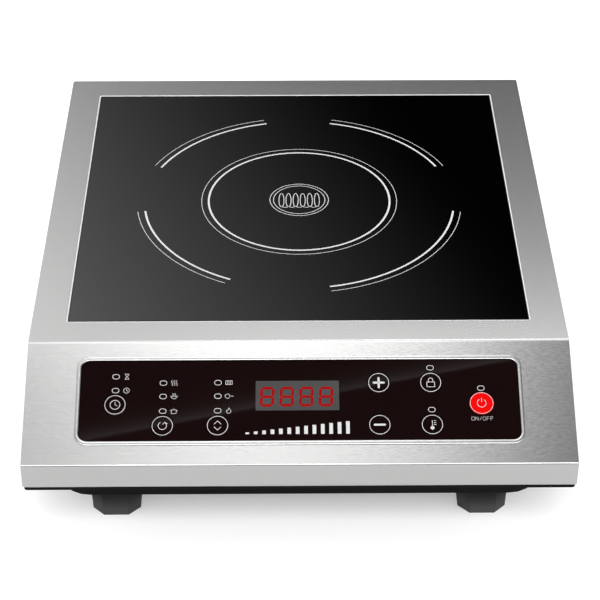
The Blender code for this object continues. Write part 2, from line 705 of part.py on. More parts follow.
def make_keys():
    for name, x, y, radius in KEYS:
        skirt = radius + KEY_FIT + KEY_SKIRT
        skirt_top = PLATE_BACK_Z - FIT
        profile = (
            (0, 0),
            (radius, 0),
            (radius, skirt_top),
            (skirt, skirt_top),
            (skirt, SKIRT_BACK_Z),
            (0, SKIRT_BACK_Z),
        )
        finish = RED_FINISH if name == "key_power" else PANEL_FINISH
        add_piece(name, turned(profile), finish, parent=panel_frame, place=(x - PANEL_X, y, 0))


def make_control_board():
    width = PANEL_WIDTH - 2 * CONTROL_BOARD_INSET
    height = PANEL_HEIGHT - 2 * CONTROL_BOARD_INSET
    low = CONTROL_BOARD_Z - BOARD_THICKNESS
    board = add_piece(
        "control_board", block(width, height, low, CONTROL_BOARD_Z), BOARD_FINISH, parent=panel_frame
    )
    half = SWITCH_SIZE / 2
    switches = [rounded_outline(half, half, half / 4, 1, (x - PANEL_X, y)) for _, x, y, _ in KEYS]
    join(
        board,
        "key_switches",
        slabs(switches, CONTROL_BOARD_Z - BOARD_THICKNESS / 2, SWITCH_TOP_Z),
        parent=panel_frame,
    )
    place = (DISPLAY_X - PANEL_X, DISPLAY_Y, 0)
    window = block(DISPLAY_WIDTH, DISPLAY_HEIGHT, -DISPLAY_WINDOW, 0)
    add_piece("display_window", window, WINDOW_FINISH, parent=panel_frame, place=place)
    module = block(DISPLAY_WIDTH, DISPLAY_HEIGHT, CONTROL_BOARD_Z + FIT, -DISPLAY_WINDOW - FIT)
    add_piece("display_module", module, BLACK_FINISH, parent=panel_frame, place=place)
    buzzer = rod(BUZZER_RADIUS, low - FIT - BUZZER_HEIGHT, low - FIT, 16)
    add_piece("buzzer", buzzer, BLACK_FINISH, parent=panel_frame)


def make_coil():
    centre = (0, GLASS_Y, 0)
    path = []
    for n in range(COIL_TURNS * COIL_POINTS + 1):
        turn = n / COIL_POINTS
        radius = COIL_INNER_RADIUS + COIL_PITCH * turn
        angle = 2 * math.pi * turn
        path.append((radius * math.cos(angle), radius * math.sin(angle), COIL_CENTRE_Z))
    gaps = [
        math.dist(path[n], path[n + COIL_POINTS]) - COIL_WIRE for n in range(len(path) - COIL_POINTS)
    ]
    print(f"least gap between coil turns {min(gaps) * 1000:.2f} mm")
    winding = bpy.data.curves.new("induction_coil", "CURVE")
    winding.dimensions = "3D"
    winding.bevel_depth = COIL_WIRE / 2
    winding.bevel_resolution = 1
    winding.use_fill_caps = True
    spline = winding.splines.new("POLY")
    spline.points.add(len(path) - 1)
    for point, place in zip(spline.points, path):
        point.co = (*place, 1)
    winding.materials.append(make_material("induction_coil", COPPER_FINISH))
    link_object("induction_coil", winding, place=centre)

    carrier = add_piece(
        "coil_carrier", rod(CARRIER_RADIUS, CARRIER_BOTTOM, CARRIER_TOP, 40), CREAM_FINISH, place=centre
    )
    middle = FERRITE_INNER_RADIUS + FERRITE_LENGTH / 2
    grooves = bmesh.new()
    for n in range(FERRITE_COUNT):
        angle = 2 * math.pi * n / FERRITE_COUNT
        groove = block(
            FERRITE_LENGTH + 2 * FIT,
            FERRITE_WIDTH + 2 * FIT,
            CARRIER_BOTTOM - OVERLAP,
            CARRIER_BOTTOM + FERRITE_THICKNESS + FIT,
            centre=(middle, 0),
        )
        bmesh.ops.rotate(groove, verts=groove.verts, cent=(0, 0, 0), matrix=Matrix.Rotation(angle, 3, "Z"))
        spare = mesh_of("groove", groove)
        grooves.from_mesh(spare)
        bpy.data.meshes.remove(spare)
        bar = block(
            FERRITE_LENGTH,
            FERRITE_WIDTH,
            CARRIER_BOTTOM,
            CARRIER_BOTTOM + FERRITE_THICKNESS,
            centre=(middle, 0),
        )
        add_piece(f"ferrite_bar_{n + 1}", bar, FERRITE_FINISH, place=centre, turn=(0, 0, angle))
    cut(carrier, "ferrite_grooves", grooves, place=centre)

    low = MICA_TOP - MICA_THICKNESS
    mica = (
        (MICA_HOLE, MICA_TOP),
        (COIL_OUTER_RADIUS, MICA_TOP),
        (COIL_OUTER_RADIUS, low),
        (MICA_HOLE, low),
        (MICA_HOLE, MICA_TOP),
    )
    add_piece("mica_sheet", turned(mica, 32), MICA_FINISH, place=centre)

    seat = CARRIER_TOP + FIT
    top = GLASS_BOTTOM - FIT
    sensor = (
        (0, top),
        (SENSOR_RADIUS, top),
        (SENSOR_RADIUS, seat + SENSOR_BASE),
        (SENSOR_BASE_RADIUS, seat + SENSOR_BASE),
        (SENSOR_BASE_RADIUS, seat),
        (0, seat),
    )
    add_piece("temperature_sensor", turned(sensor, 16), CREAM_FINISH, place=centre)

    for n, degrees in enumerate(POST_ANGLES):
        angle = math.radians(degrees)
        place = (POST_CIRCLE * math.cos(angle), GLASS_Y + POST_CIRCLE * math.sin(angle), 0)
        foot = FLOOR + FIT
        head = CARRIER_BOTTOM - FIT
        post = (
            (0, head),
            (POST_RADIUS, head),
            (POST_RADIUS, foot + POST_BASE),
            (POST_BASE_RADIUS, foot + POST_BASE),
            (POST_BASE_RADIUS, foot),
            (0, foot),
        )
        add_piece(f"coil_post_{n + 1}", turned(post, 14), CREAM_FINISH, place=place)


def make_fan():
    centre = (FAN_X, FAN_Y, FAN_BOTTOM)
    half = FAN_SIZE / 2
    frame = add_piece(
        "fan_frame", slab(rounded_outline(half, half, FAN_CORNER), 0, FAN_HEIGHT), BLACK_FINISH, place=centre
    )
    cut(frame, "fan_bore", rod(FAN_BORE, -OVERLAP, FAN_HEIGHT + OVERLAP, 32), place=centre)
    reach = FAN_BORE + OVERLAP
    for n, (size_x, size_y) in enumerate(((2 * reach, FAN_ARM_WIDTH), (FAN_ARM_WIDTH, 2 * reach))):
        join(frame, f"fan_arm_{n + 1}", block(size_x, size_y, 0, FAN_PLATE), place=centre)
    join(frame, "fan_motor_plate", rod(FAN_HUB_RADIUS, 0, FAN_PLATE), place=centre)

    low, high = FAN_PLATE + FIT, FAN_HEIGHT - FAN_TOP_GAP
    rotor = add_piece("fan_rotor", rod(FAN_HUB_RADIUS, low, high), BLACK_FINISH, place=centre)
    tip = FAN_BORE - BLADE_GAP
    root = FAN_HUB_RADIUS - OVERLAP
    rise = (high - low) / 2 - FAN_TOP_GAP / 2
    lean = rise * math.tan(math.radians(FAN_BLADE_TILT))
    half_thick = FAN_BLADE_THICKNESS / 2 / math.cos(math.radians(FAN_BLADE_TILT))
    middle = (low + high) / 2
    for n in range(FAN_BLADES):
        # Corners lie on the root and tip circles, so a leaning blade keeps its running gap.
        rings = []
        for height, shift in ((-rise, -lean), (rise, lean)):
            ring = []
            for radius, side in ((root, -1), (tip, -1), (tip, 1), (root, 1)):
                across = shift * radius / tip + side * half_thick
                ring.append((math.sqrt(radius * radius - across * across), across, middle + height))
            rings.append(ring)
        angle = 2 * math.pi * n / FAN_BLADES
        join(rotor, f"fan_blade_{n + 1}", loft(rings), place=centre, turn=(0, 0, angle))


def make_power_board():
    frame = link_object("power_board_frame", None, place=(BOARD_X, BOARD_Y, BOARD_Z + BOARD_THICKNESS))
    half_x, half_y = POWER_BOARD_WIDTH / 2, POWER_BOARD_DEPTH / 2
    board = add_piece(
        "power_board",
        block(POWER_BOARD_WIDTH, POWER_BOARD_DEPTH, -BOARD_THICKNESS, 0),
        BOARD_FINISH,
        parent=frame,
    )
    holes = [circle_outline(BOARD_BOSS_RADIUS / 2, 10, place) for place in board_corners()]
    cut(board, "board_holes", slabs(holes, -BOARD_THICKNESS - OVERLAP, OVERLAP), parent=frame)

    # Comb outline across the fins, then drawn out along X.
    sink_y = half_y - PART_MARGIN - SINK_WIDTH / 2
    pitch = (SINK_WIDTH - SINK_FIN) / (SINK_FINS - 1)
    comb = [(-SINK_WIDTH / 2, FIT), (SINK_WIDTH / 2, FIT)]
    for n in reversed(range(SINK_FINS)):
        y = -SINK_WIDTH / 2 + n * pitch
        root = FIT + SINK_BASE
        tip = FIT + SINK_HEIGHT
        fin = [(y + SINK_FIN, root), (y + SINK_FIN, tip), (y, tip), (y, root)]
        comb += fin[1:] if n == SINK_FINS - 1 else fin[:3] if n == 0 else fin
    sides = [[(side * SINK_LENGTH / 2, y, z) for y, z in comb] for side in (-1, 1)]
    add_piece("heat_sink", loft(sides), ALUMINIUM_FINISH, parent=frame, place=(0, sink_y, 0))

    # Semiconductors stand against the front face of the heat sink.
    face = sink_y - SINK_WIDTH / 2 - FIT
    spread = SINK_LENGTH / 4
    for name, x, width, depth, height in (
        ("power_transistor", -spread, TRANSISTOR_WIDTH, TRANSISTOR_DEPTH, TRANSISTOR_HEIGHT),
        ("bridge_rectifier", spread, RECTIFIER_WIDTH, RECTIFIER_DEPTH, RECTIFIER_HEIGHT),
    ):
        package = block(width, depth, FIT, FIT + height, PART_EDGE)
        add_piece(name, package, BLACK_FINISH, parent=frame, place=(x, face - depth / 2, 0))

    # Two rows from the front edge: the capacitors, then the choke and the transformer.
    left = PART_MARGIN - half_x
    right = half_x - PART_MARGIN
    front = PART_MARGIN - half_y
    row = front + max(CAPACITOR_DEPTH, RESONANT_DEPTH) + PART_MARGIN
    shape = block(CAPACITOR_WIDTH, CAPACITOR_DEPTH, FIT, FIT + CAPACITOR_HEIGHT, PART_EDGE)
    place = (left + CAPACITOR_WIDTH / 2, front + CAPACITOR_DEPTH / 2, 0)
    add_piece("filter_capacitor", shape, YELLOW_FINISH, parent=frame, place=place)
    shape = block(RESONANT_WIDTH, RESONANT_DEPTH, FIT, FIT + RESONANT_HEIGHT, PART_EDGE)
    place = (right - RESONANT_WIDTH / 2, front + RESONANT_DEPTH / 2, 0)
    add_piece("resonant_capacitor", shape, YELLOW_FINISH, parent=frame, place=place)
    shape = block(TRANSFORMER_WIDTH, TRANSFORMER_DEPTH, FIT, FIT + TRANSFORMER_HEIGHT, PART_EDGE)
    place = (right - TRANSFORMER_WIDTH / 2, row + TRANSFORMER_DEPTH / 2, 0)
    add_piece("supply_transformer", shape, FERRITE_FINISH, parent=frame, place=place)
    outer = CHOKE_RADIUS + CHOKE_SECTION
    section = circle_outline(CHOKE_SECTION, 8, (CHOKE_RADIUS, FIT + CHOKE_SECTION))
    core = [section[0], *section[:0:-1], section[0]]
    add_piece("choke", turned(core, 18), COPPER_FINISH, parent=frame, place=(left + outer, row + outer, 0))


def make_mains_entry():
    place = (GLAND_X, TRAY_HALF_Y, GLAND_Z)
    turn = (-math.pi / 2, 0, 0)
    nut_seat = -TRAY_WALL - FIT
    thread = nut_seat - GLAND_NUT - GLAND_THREAD
    flange = FIT + GLAND_FLANGE
    gland = (
        (GLAND_BORE, GLAND_NOSE),
        (GLAND_NOSE_RADIUS - PART_EDGE, GLAND_NOSE),
        (GLAND_NOSE_RADIUS, flange),
        (GLAND_FLANGE_RADIUS, flange),
        (GLAND_FLANGE_RADIUS, FIT),
        (GLAND_RADIUS, FIT),
        (GLAND_RADIUS, thread),
        (GLAND_BORE, thread),
        (GLAND_BORE, GLAND_NOSE),
    )
    add_piece("cord_gland", turned(gland), BLACK_FINISH, place=place, turn=turn)
    inner = (GLAND_RADIUS + FIT) / math.cos(math.pi / 6)
    outer = inner + GLAND_NUT_WALL
    nut = (
        (inner, nut_seat),
        (outer, nut_seat),
        (outer, nut_seat - GLAND_NUT),
        (inner, nut_seat - GLAND_NUT),
        (inner, nut_seat),
    )
    add_piece("gland_nut", turned(nut, 6), BLACK_FINISH, place=place, turn=turn)

    low = FLOOR + FIT
    high = low + TERMINAL_HEIGHT
    half = TERMINAL_DEPTH / 2
    steps = (
        (-half, low),
        (half, low),
        (half, high - TERMINAL_STEP),
        (half - TERMINAL_STEP, high - TERMINAL_STEP),
        (half - TERMINAL_STEP, high),
        (-half, high),
    )
    sides = [[(side * TERMINAL_WIDTH / 2, y, z) for y, z in steps] for side in (-1, 1)]
    back = TRAY_HALF_Y - TRAY_WALL - TERMINAL_BACK_GAP
    add_piece("terminal_block", loft(sides), CREAM_FINISH, place=(GLAND_X, back - half, 0))


clear_scene()

# The panel's own frame: origin on the slope at the panel's centre, Z out of the slope.
panel_frame = link_object(
    "panel_frame",
    None,
    place=(
        PANEL_X,
        RIDGE - PANEL_RUN * math.cos(SLOPE_ANGLE),
        TOP - PANEL_RUN * math.sin(SLOPE_ANGLE),
    ),
    turn=(SLOPE_ANGLE, 0, 0),
)

make_shell()
make_glass()
make_tray()
make_feet()
make_case_screws()
make_panel()
make_keys()
make_control_board()
make_coil()
make_fan()
make_power_board()
make_mains_entry()
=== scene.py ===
# A countertop induction hob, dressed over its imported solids. Metres, +Z up, controls towards -Y.

import json
import math

import bmesh
import bpy
from mathutils import Matrix, Vector

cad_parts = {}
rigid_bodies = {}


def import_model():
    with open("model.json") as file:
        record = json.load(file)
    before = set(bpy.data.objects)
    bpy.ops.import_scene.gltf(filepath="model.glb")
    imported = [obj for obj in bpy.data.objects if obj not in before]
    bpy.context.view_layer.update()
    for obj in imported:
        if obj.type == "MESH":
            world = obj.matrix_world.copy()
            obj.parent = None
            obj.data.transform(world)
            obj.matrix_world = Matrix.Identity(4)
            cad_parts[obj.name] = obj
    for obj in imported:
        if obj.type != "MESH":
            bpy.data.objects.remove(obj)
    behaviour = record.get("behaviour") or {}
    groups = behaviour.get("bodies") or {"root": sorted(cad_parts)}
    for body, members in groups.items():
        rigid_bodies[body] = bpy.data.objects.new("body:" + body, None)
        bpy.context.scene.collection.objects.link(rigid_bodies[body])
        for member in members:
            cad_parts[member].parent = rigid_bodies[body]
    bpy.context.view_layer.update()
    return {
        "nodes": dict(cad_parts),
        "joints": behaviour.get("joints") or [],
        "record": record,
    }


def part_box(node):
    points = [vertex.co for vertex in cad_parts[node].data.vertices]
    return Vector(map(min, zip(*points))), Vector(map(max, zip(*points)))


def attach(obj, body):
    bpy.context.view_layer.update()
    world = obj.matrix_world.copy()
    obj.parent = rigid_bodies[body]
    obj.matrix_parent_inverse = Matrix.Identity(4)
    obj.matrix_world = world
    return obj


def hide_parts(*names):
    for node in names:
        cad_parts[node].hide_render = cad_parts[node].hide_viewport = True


for leftover in list(bpy.data.objects):
    bpy.data.objects.remove(leftover, do_unlink=True)

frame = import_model()
nodes = frame["nodes"]


class Wire:
    # A socket in a node tree. Operators on it add Math nodes.
    def __init__(self, tree, socket=None):
        self.tree = tree
        self.socket = socket

    def node(self, kind, settings=None, values=None, out=0):
        made = self.tree.nodes.new(kind)
        for key, value in (settings or {}).items():
            if key == "stops":
                fillRamp(made.color_ramp, value)
            else:
                setattr(made, key, value)
        for key, value in (values or {}).items():
            plug(self.tree, made.inputs[key], value)
        return Wire(self.tree, made.outputs[out])

    def math(self, operation, *values):
        return self.node("ShaderNodeMath", {"operation": operation}, dict(enumerate(values)))

    def __add__(self, other):
        return self.math("ADD", self, other)

    def __sub__(self, other):
        return self.math("SUBTRACT", self, other)

    def __mul__(self, other):
        return self.math("MULTIPLY", self, other)

    def __truediv__(self, other):
        return self.math("DIVIDE", self, other)

    def __radd__(self, other):
        return self.math("ADD", other, self)

    def __rsub__(self, other):
        return self.math("SUBTRACT", other, self)

    def __rmul__(self, other):
        return self.math("MULTIPLY", other, self)

    def __rtruediv__(self, other):
        return self.math("DIVIDE", other, self)

    def __abs__(self):
        return self.math("ABSOLUTE", self)

    def step(self, low, high):
        values = {"Value": self, "From Min": low, "From Max": high}
        return self.node("ShaderNodeMapRange", {"interpolation_type": "SMOOTHSTEP"}, values)

    def between(self, rise, fall):
        return self.step(*rise) * (1.0 - self.step(*fall))

    def towards(self, other, share):
        return self + (other - self) * share

    def within(self, low, high):
        return self.node("ShaderNodeClamp", None, {"Value": self, "Min": low, "Max": high})

    def place(self):
        return self.node("ShaderNodeTexCoord", out="Object")

    def scaled(self, *factors):
        return self.node("ShaderNodeVectorMath", {"operation": "MULTIPLY"}, {0: self, 1: factors})

    def shifted(self, other):
        return self.node("ShaderNodeVectorMath", {"operation": "ADD"}, {0: self, 1: other})

    def parts(self):
        split = self.node("ShaderNodeSeparateXYZ", None, {"Vector": self})
        return [Wire(self.tree, socket) for socket in split.socket.node.outputs]

    def noise(self, scale, detail=2.0, roughness=0.5, out=0):
        values = {"Vector": self, "Scale": scale, "Detail": detail, "Roughness": roughness}
        return self.node("ShaderNodeTexNoise", None, values, out)

    def cells(self, scale, feature="F1"):
        return self.node("ShaderNodeTexVoronoi", {"feature": feature}, {"Vector": self, "Scale": scale})

    def blend(self, low, high):
        # a colour between two, by this value
        return self.node("ShaderNodeMix", {"data_type": "RGBA"}, {0: self, 6: low, 7: high}, 2)

    def bump(self, distance, strength=1.0):
        values = {"Height": self, "Distance": distance, "Strength": strength}
        return self.node("ShaderNodeBump", None, values)


def plug(tree, socket, value):
    if isinstance(value, Wire):
        tree.links.new(value.socket, socket)
    elif isinstance(value, (tuple, list)) and len(value) < len(socket.default_value):
        socket.default_value = (*value, 1.0)
    else:
        socket.default_value = value


def fillRamp(ramp, stops):
    while len(ramp.elements) < len(stops):
        ramp.elements.new(1.0)
    for element, (position, level) in zip(ramp.elements, stops):
        element.position = position
        element.color = (level, level, level, 1.0)


def finishFrom(name, recipe):
    made = bpy.data.materials.new(name)
    made.use_nodes = True
    shader = made.node_tree.nodes["Principled BSDF"]
    for key, value in recipe(Wire(made.node_tree)).items():
        plug(made.node_tree, shader.inputs[key], value)
    return made


# Finishes

brushLook = {
    "dark": (0.421, 0.421, 0.418),
    "light": (0.503, 0.503, 0.500),
    "long": 300.0,  # streaks per metre, along the brushing and across it
    "across": 1150.0,
    "fineLong": 900.0,  # hairs between the streaks, in the same way
    "fine": 2600.0,
    "share": 0.85,  # how much of the tone is streak, and the rest hair
    "contrast": (0.28, 0.72),
    "calm": 0.07,  # how strong the streaks are away from the slope, and at the left of it
    "left": 0.42,
    "slopeRight": (0.0, 0.14),  # where they grow strong: to the right, to the front, above the lip
    "slopeBack": (-0.124, -0.132),
    "slopeFoot": (0.068, 0.072),
    "sway": 0.0012,  # how far the streaks wander, and how often along and across
    "swayLong": 90.0,
    "swayAcross": 30.0,
    "roughness": 0.136,
    "spread": 0.03,
    "depth": 0.000009,
    "pull": 0.9,  # how far the gloss is drawn out across the brushing
    "pullTurn": 0.25,
}


def brushedAlong(axis):
    look = brushLook

    def drawn(along, across):
        return [along if n == axis else across for n in range(3)]

    def recipe(paint):
        place = paint.place()
        sway = place.scaled(*drawn(look["swayLong"], look["swayAcross"])).noise(1.0, 1.0, out=1)
        place = place.shifted(sway.scaled(*drawn(0.0, look["sway"])))
        streak = place.scaled(*drawn(look["long"], look["across"])).noise(1.0, 1.0)
        hair = place.scaled(*drawn(look["fineLong"], look["fine"])).noise(1.0, 2.0, 0.6)
        x, y, z = paint.place().parts()
        slope = y.step(*look["slopeBack"]) * z.step(*look["slopeFoot"])
        strong = look["left"] + (1.0 - look["left"]) * x.step(*look["slopeRight"])
        grain = look["calm"] + (strong - look["calm"]) * slope
        both = streak * look["share"] + hair * (1.0 - look["share"])
        tone = 0.5 + (both.step(*look["contrast"]) - 0.5) * grain
        return {
            "Base Color": tone.blend(look["dark"], look["light"]),
            "Metallic": 1.0,
            "Roughness": look["roughness"] + look["spread"] * hair,
            "Normal": (streak * grain).bump(look["depth"]),
            "Anisotropic": look["pull"] if axis == 0 else 0.0,
            "Anisotropic Rotation": look["pullTurn"],
        }

    return recipe


def speckled(noise, tones, rough, relief=0.0, metal=0.0, shine=0.5, stretch=None):
    # one noise, by scale and detail, between two tones, with a roughness and its spread
    def recipe(paint):
        place = paint.place().scaled(*stretch) if stretch else paint.place()
        speck = place.noise(*noise)
        dark, light = [tone if isinstance(tone, tuple) else (tone,) * 3 for tone in tones]
        values = {
            "Base Color": speck.blend(dark, light),
            "Metallic": metal,
            "Roughness": rough[0] + rough[1] * speck,
            "Specular IOR Level": shine,
        }
        if relief:
            values["Normal"] = speck.bump(relief)
        return values

    return recipe


def zincPlate(paint):
    spangle = paint.place().cells(260.0)
    haze = paint.place().noise(900.0, 3.0)
    return {
        "Base Color": (spangle * 0.7 + haze * 0.3).blend((0.46, 0.47, 0.48), (0.62, 0.63, 0.64)),
        "Metallic": 1.0,
        "Roughness": 0.34 + 0.16 * haze,
        "Normal": haze.bump(0.000008),
    }


def blackGlass(paint):
    haze = paint.place().noise(16.0, 3.0)
    fleck = paint.place().noise(5200.0, 1.0).step(0.66, 0.74)
    return {
        "Base Color": fleck.blend((0.0005, 0.0005, 0.0005), (0.0012, 0.0012, 0.0012)),
        "Roughness": 0.010 + 0.015 * haze,
        "Specular IOR Level": 0.5,
    }


def mouldedBlack(paint):
    grain = paint.place().noise(2600.0, 2.0)
    flow = paint.place().noise(38.0, 2.0)
    return {
        "Base Color": flow.blend((0.0030, 0.0030, 0.0030), (0.0048, 0.0048, 0.0048)),
        "Roughness": 0.46 + 0.16 * grain,
        "Specular IOR Level": 0.09,
        "Normal": grain.bump(0.00005, 0.6),
    }


def footRubber(paint):
    grain = paint.place().noise(1900.0, 3.0)
    _, _, z = paint.place().parts()
    # painted shade: the feet are darker at the top under the tray and lighter low down by the floor; only
    # a fifth of this tone is random dust
    low = 1.0 - z.step(0.0, 0.026)
    dustAndPaintedShade = 0.2 * paint.place().noise(120.0, 3.0) + 0.8 * low * low  # painted shade and light, with a little random dust
    return {
        "Base Color": dustAndPaintedShade.blend((0.002, 0.002, 0.002), (0.085, 0.085, 0.085)),
        "Roughness": 0.54 + 0.14 * grain,
        "Specular IOR Level": 0.12,
        "Normal": grain.bump(0.00006, 0.6),
    }


def panelFilm(paint):
    haze = paint.place().noise(30.0, 2.0)
    peel = paint.place().noise(700.0, 1.0)
    return {
        "Base Color": haze.blend((0.0054, 0.0013, 0.0013), (0.0064, 0.0019, 0.0019)),
        "Roughness": 0.010 + 0.010 * haze,
        "Specular IOR Level": 0.5,
        "Normal": peel.bump(0.0000004),
    }


def litSegment(paint):
    glow = paint.place().noise(1800.0, 1.0)
    return {
        "Base Color": glow.blend((0.15, 0.001, 0.002), (0.18, 0.001, 0.002)),
        "Emission Color": glow.blend((0.12, 0.0, 0.0), (0.15, 0.0, 0.0)),
        "Emission Strength": 1.0,
        "Roughness": 0.50,
        "Specular IOR Level": 0.05,
    }


def solderMask(paint):
    place = paint.place()
    track = place.scaled(1.0, 1.0, 0.0).cells(240.0, "DISTANCE_TO_EDGE").step(0.10, 0.16)
    speck = place.noise(1600.0, 2.0)
    return {
        "Base Color": track.blend((0.030, 0.185, 0.070), (0.016, 0.115, 0.040)),
        "Roughness": 0.34 + 0.16 * speck,
        "Normal": (track * 0.7 + speck * 0.3).bump(0.00003),
    }


def pressedMica(paint):
    flake = paint.place().scaled(1.0, 1.0, 4.0).cells(420.0)
    cloud = paint.place().noise(70.0, 3.0)
    return {
        "Base Color": (flake * 0.5 + cloud * 0.5).blend((0.52, 0.47, 0.37), (0.70, 0.66, 0.56)),
        "Roughness": 0.40 + 0.20 * flake,
        "Normal": flake.bump(0.00003),
    }


recipes = {
    "steel": ("brushed_steel", brushedAlong(0)),
    "steelSide": ("brushed_steel_side", brushedAlong(1)),
    "zinc": ("zinc_plate", zincPlate),
    "chrome_trim": ("polished_trim", speckled((420.0, 3.0), (0.43, 0.49), (0.18, 0.06), metal=1.0)),
    "glass": ("black_glass", blackGlass),
    "glassEdge": (
        "ground_edge",
        speckled((3000.0, 2.0), (0.0020, 0.0040), (0.50, 0.15), relief=0.00001, shine=0.15),
    ),
    "silicone": (
        "soft_silicone",
        speckled((340.0, 3.0), ((0.80, 0.80, 0.79), (0.88, 0.88, 0.87)), (0.50, 0.12), 0.00004),
    ),
    "black_plastic": ("moulded_black", mouldedBlack),
    "foot_rubber": ("foot_rubber", footRubber),
    "panel_black": ("panel_film", panelFilm),
    "key_red": (
        "red_key",
        speckled((160.0, 2.0), ((0.62, 0.0003, 0.0003), (0.67, 0.0005, 0.0005)), (0.32, 0.08), shine=0.04),
    ),
    "display_grey": ("display_grey", speckled((1500.0, 2.0), (0.053, 0.061), (0.02, 0.02))),
    "glassPrint": ("glass_print", speckled((2400.0, 2.0), (0.60, 0.68), (0.42, 0.10), 0.000004)),
    "panelPrint": ("panel_print", speckled((2400.0, 2.0), (0.52, 0.58), (0.42, 0.10), 0.000004)),
    "digit": ("lit_segment", litSegment),
    "circuit_board": ("solder_mask", solderMask),
    "copper": (
        "enamelled_copper",
        speckled((1400.0, 2.0), ((0.50, 0.19, 0.07), (0.68, 0.30, 0.12)), (0.32, 0.14), 0.00006, 1.0),
    ),
    "ferrite": (
        "sintered_ferrite",
        speckled((2100.0, 4.0), ((0.036, 0.036, 0.040), (0.066, 0.066, 0.071)), (0.52, 0.18), 0.00005),
    ),
    "mica": ("pressed_mica", pressedMica),
    "aluminium": (
        "plain_aluminium",
        speckled(
            (1.0, 2.0),
            ((0.66, 0.67, 0.68), (0.78, 0.79, 0.80)),
            (0.30, 0.16),
            relief=0.00001,
            metal=1.0,
            stretch=(30.0, 900.0, 900.0),
        ),
    ),
    "cream_plastic": (
        "heat_proof_cream",
        speckled((260.0, 3.0), ((0.66, 0.63, 0.54), (0.74, 0.72, 0.64)), (0.44, 0.14), 0.00003),
    ),
    "capacitor_yellow": (
        "film_case",
        speckled((500.0, 2.0), ((0.60, 0.40, 0.03), (0.70, 0.50, 0.05)), (0.36, 0.14), 0.00003),
    ),
}
finishes = {key: finishFrom(*recipe) for key, recipe in recipes.items()}
print("finishes:", len(finishes))


# Mesh helpers


def roundedOutline(halfX, halfY, radius, steps=8, centre=(0.0, 0.0)):
    points = []
    for quarter, (sideX, sideY) in enumerate(((1, 1), (-1, 1), (-1, -1), (1, -1))):
        for step in range(steps + 1):
            angle = math.pi / 2 * (quarter + step / steps)
            x = centre[0] + sideX * (halfX - radius) + radius * math.cos(angle)
            y = centre[1] + sideY * (halfY - radius) + radius * math.sin(angle)
            points.append((x, y))
    return points


def circleOutline(radius, steps=72, centre=(0.0, 0.0)):
    turns = [2 * math.pi * step / steps for step in range(steps)]
    return [(centre[0] + radius * math.cos(a), centre[1] + radius * math.sin(a)) for a in turns]


def filleted(corners, radii, steps):
    # rounds every corner of a closed outline
    points = []
    for n, (corner, radius) in enumerate(zip(corners, radii)):
        here = Vector(corner)
        back = (Vector(corners[n - 1]) - here).normalized()
        ahead = (Vector(corners[(n + 1) % len(corners)]) - here).normalized()
        half = back.angle(ahead) / 2
        centre = here + (back + ahead).normalized() * (radius / math.sin(half))
        start = here + back * (radius / math.tan(half)) - centre
        end = here + ahead * (radius / math.tan(half)) - centre
        turn = start.angle_signed(end)
        for step in range(steps + 1):
            arm = start.copy()
            arm.rotate(Matrix.Rotation(-turn * step / steps, 2))
            points.append(tuple(centre + arm))
    return points


def loft(rings, shape=None, endless=False):
    # skins rings of equally many points, closed at both ends or joined end to end
    shape = shape or bmesh.new()
    loops = [[shape.verts.new(point) for point in ring] for ring in rings]
    pairs = list(zip(loops, loops[1:]))
    if endless:
        pairs.append((loops[-1], loops[0]))
    else:
        shape.faces.new(loops[0][::-1])
        shape.faces.new(loops[-1])
    for low, high in pairs:
        for n in range(len(low)):
            after = (n + 1) % len(low)
            shape.faces.new((low[n], low[after], high[after], high[n]))
    return shape


def slab(outline, low, high, shape=None):
    return loft([[(x, y, z) for x, y in outline] for z in (low, high)], shape)


def turned(profile, steps=72):
    # turns (radius, height) points about Z, from the axis back to the axis
    shape = bmesh.new()
    ends = [shape.verts.new((0, 0, profile[n][1])) for n in (0, -1)]
    rings = []
    for radius, height in profile[1:-1]:
        rings.append([shape.verts.new((x, y, height)) for x, y in circleOutline(radius, steps)])
    for low, high in zip(rings, rings[1:]):
        for n in range(steps):
            after = (n + 1) % steps
            shape.faces.new((low[n], low[after], high[after], high[n]))
    for end, ring in zip(ends, (rings[0], rings[-1])):
        for n in range(steps):
            shape.faces.new((end, ring[n], ring[(n + 1) % steps]))
    return shape


def framed(right, up, out, origin):
    matrix = Matrix.Identity(4)
    for column, axis in enumerate((right, up, out, origin)):
        for row in range(3):
            matrix[row][column] = axis[row]
    return matrix


def meshOf(name, shape, matrix=None):
    if matrix:
        bmesh.ops.transform(shape, matrix=matrix, verts=shape.verts)
    bmesh.ops.recalc_face_normals(shape, faces=shape.faces)
    mesh = bpy.data.meshes.new(name)
    shape.to_mesh(mesh)
    shape.free()
    return mesh


def linkObject(name, mesh):
    made = bpy.data.objects.new(name, mesh)
    bpy.context.scene.collection.objects.link(made)
    return made


def cutMesh(name, shape, cutters, sheet=0.0, matrix=None):
    # a shape, thickened into sheet where asked, with cutters taken out of it
    blank = linkObject(name + "_blank", meshOf(name, shape, matrix))
    if sheet:
        thick = blank.modifiers.new("sheet", "SOLIDIFY")
        thick.thickness = sheet
        thick.offset = -1
        thick.use_even_offset = True
    helpers = []
    for cutterShape, cutterMatrix in cutters:
        helper = linkObject(name + "_cutter", meshOf(name, cutterShape, cutterMatrix))
        helpers.append(helper)
        cut = blank.modifiers.new("cut", "BOOLEAN")
        cut.operation = "DIFFERENCE"
        cut.solver = "EXACT"
        cut.object = helper
    bpy.context.view_layer.update()
    ready = blank.evaluated_get(bpy.context.evaluated_depsgraph_get())
    mesh = bpy.data.meshes.new_from_object(ready)
    for spare in (blank, *helpers):
        bpy.data.objects.remove(spare, do_unlink=True)
    return mesh


pieceLook = {"sharp": math.radians(35.0), "edgeSteps": 3}


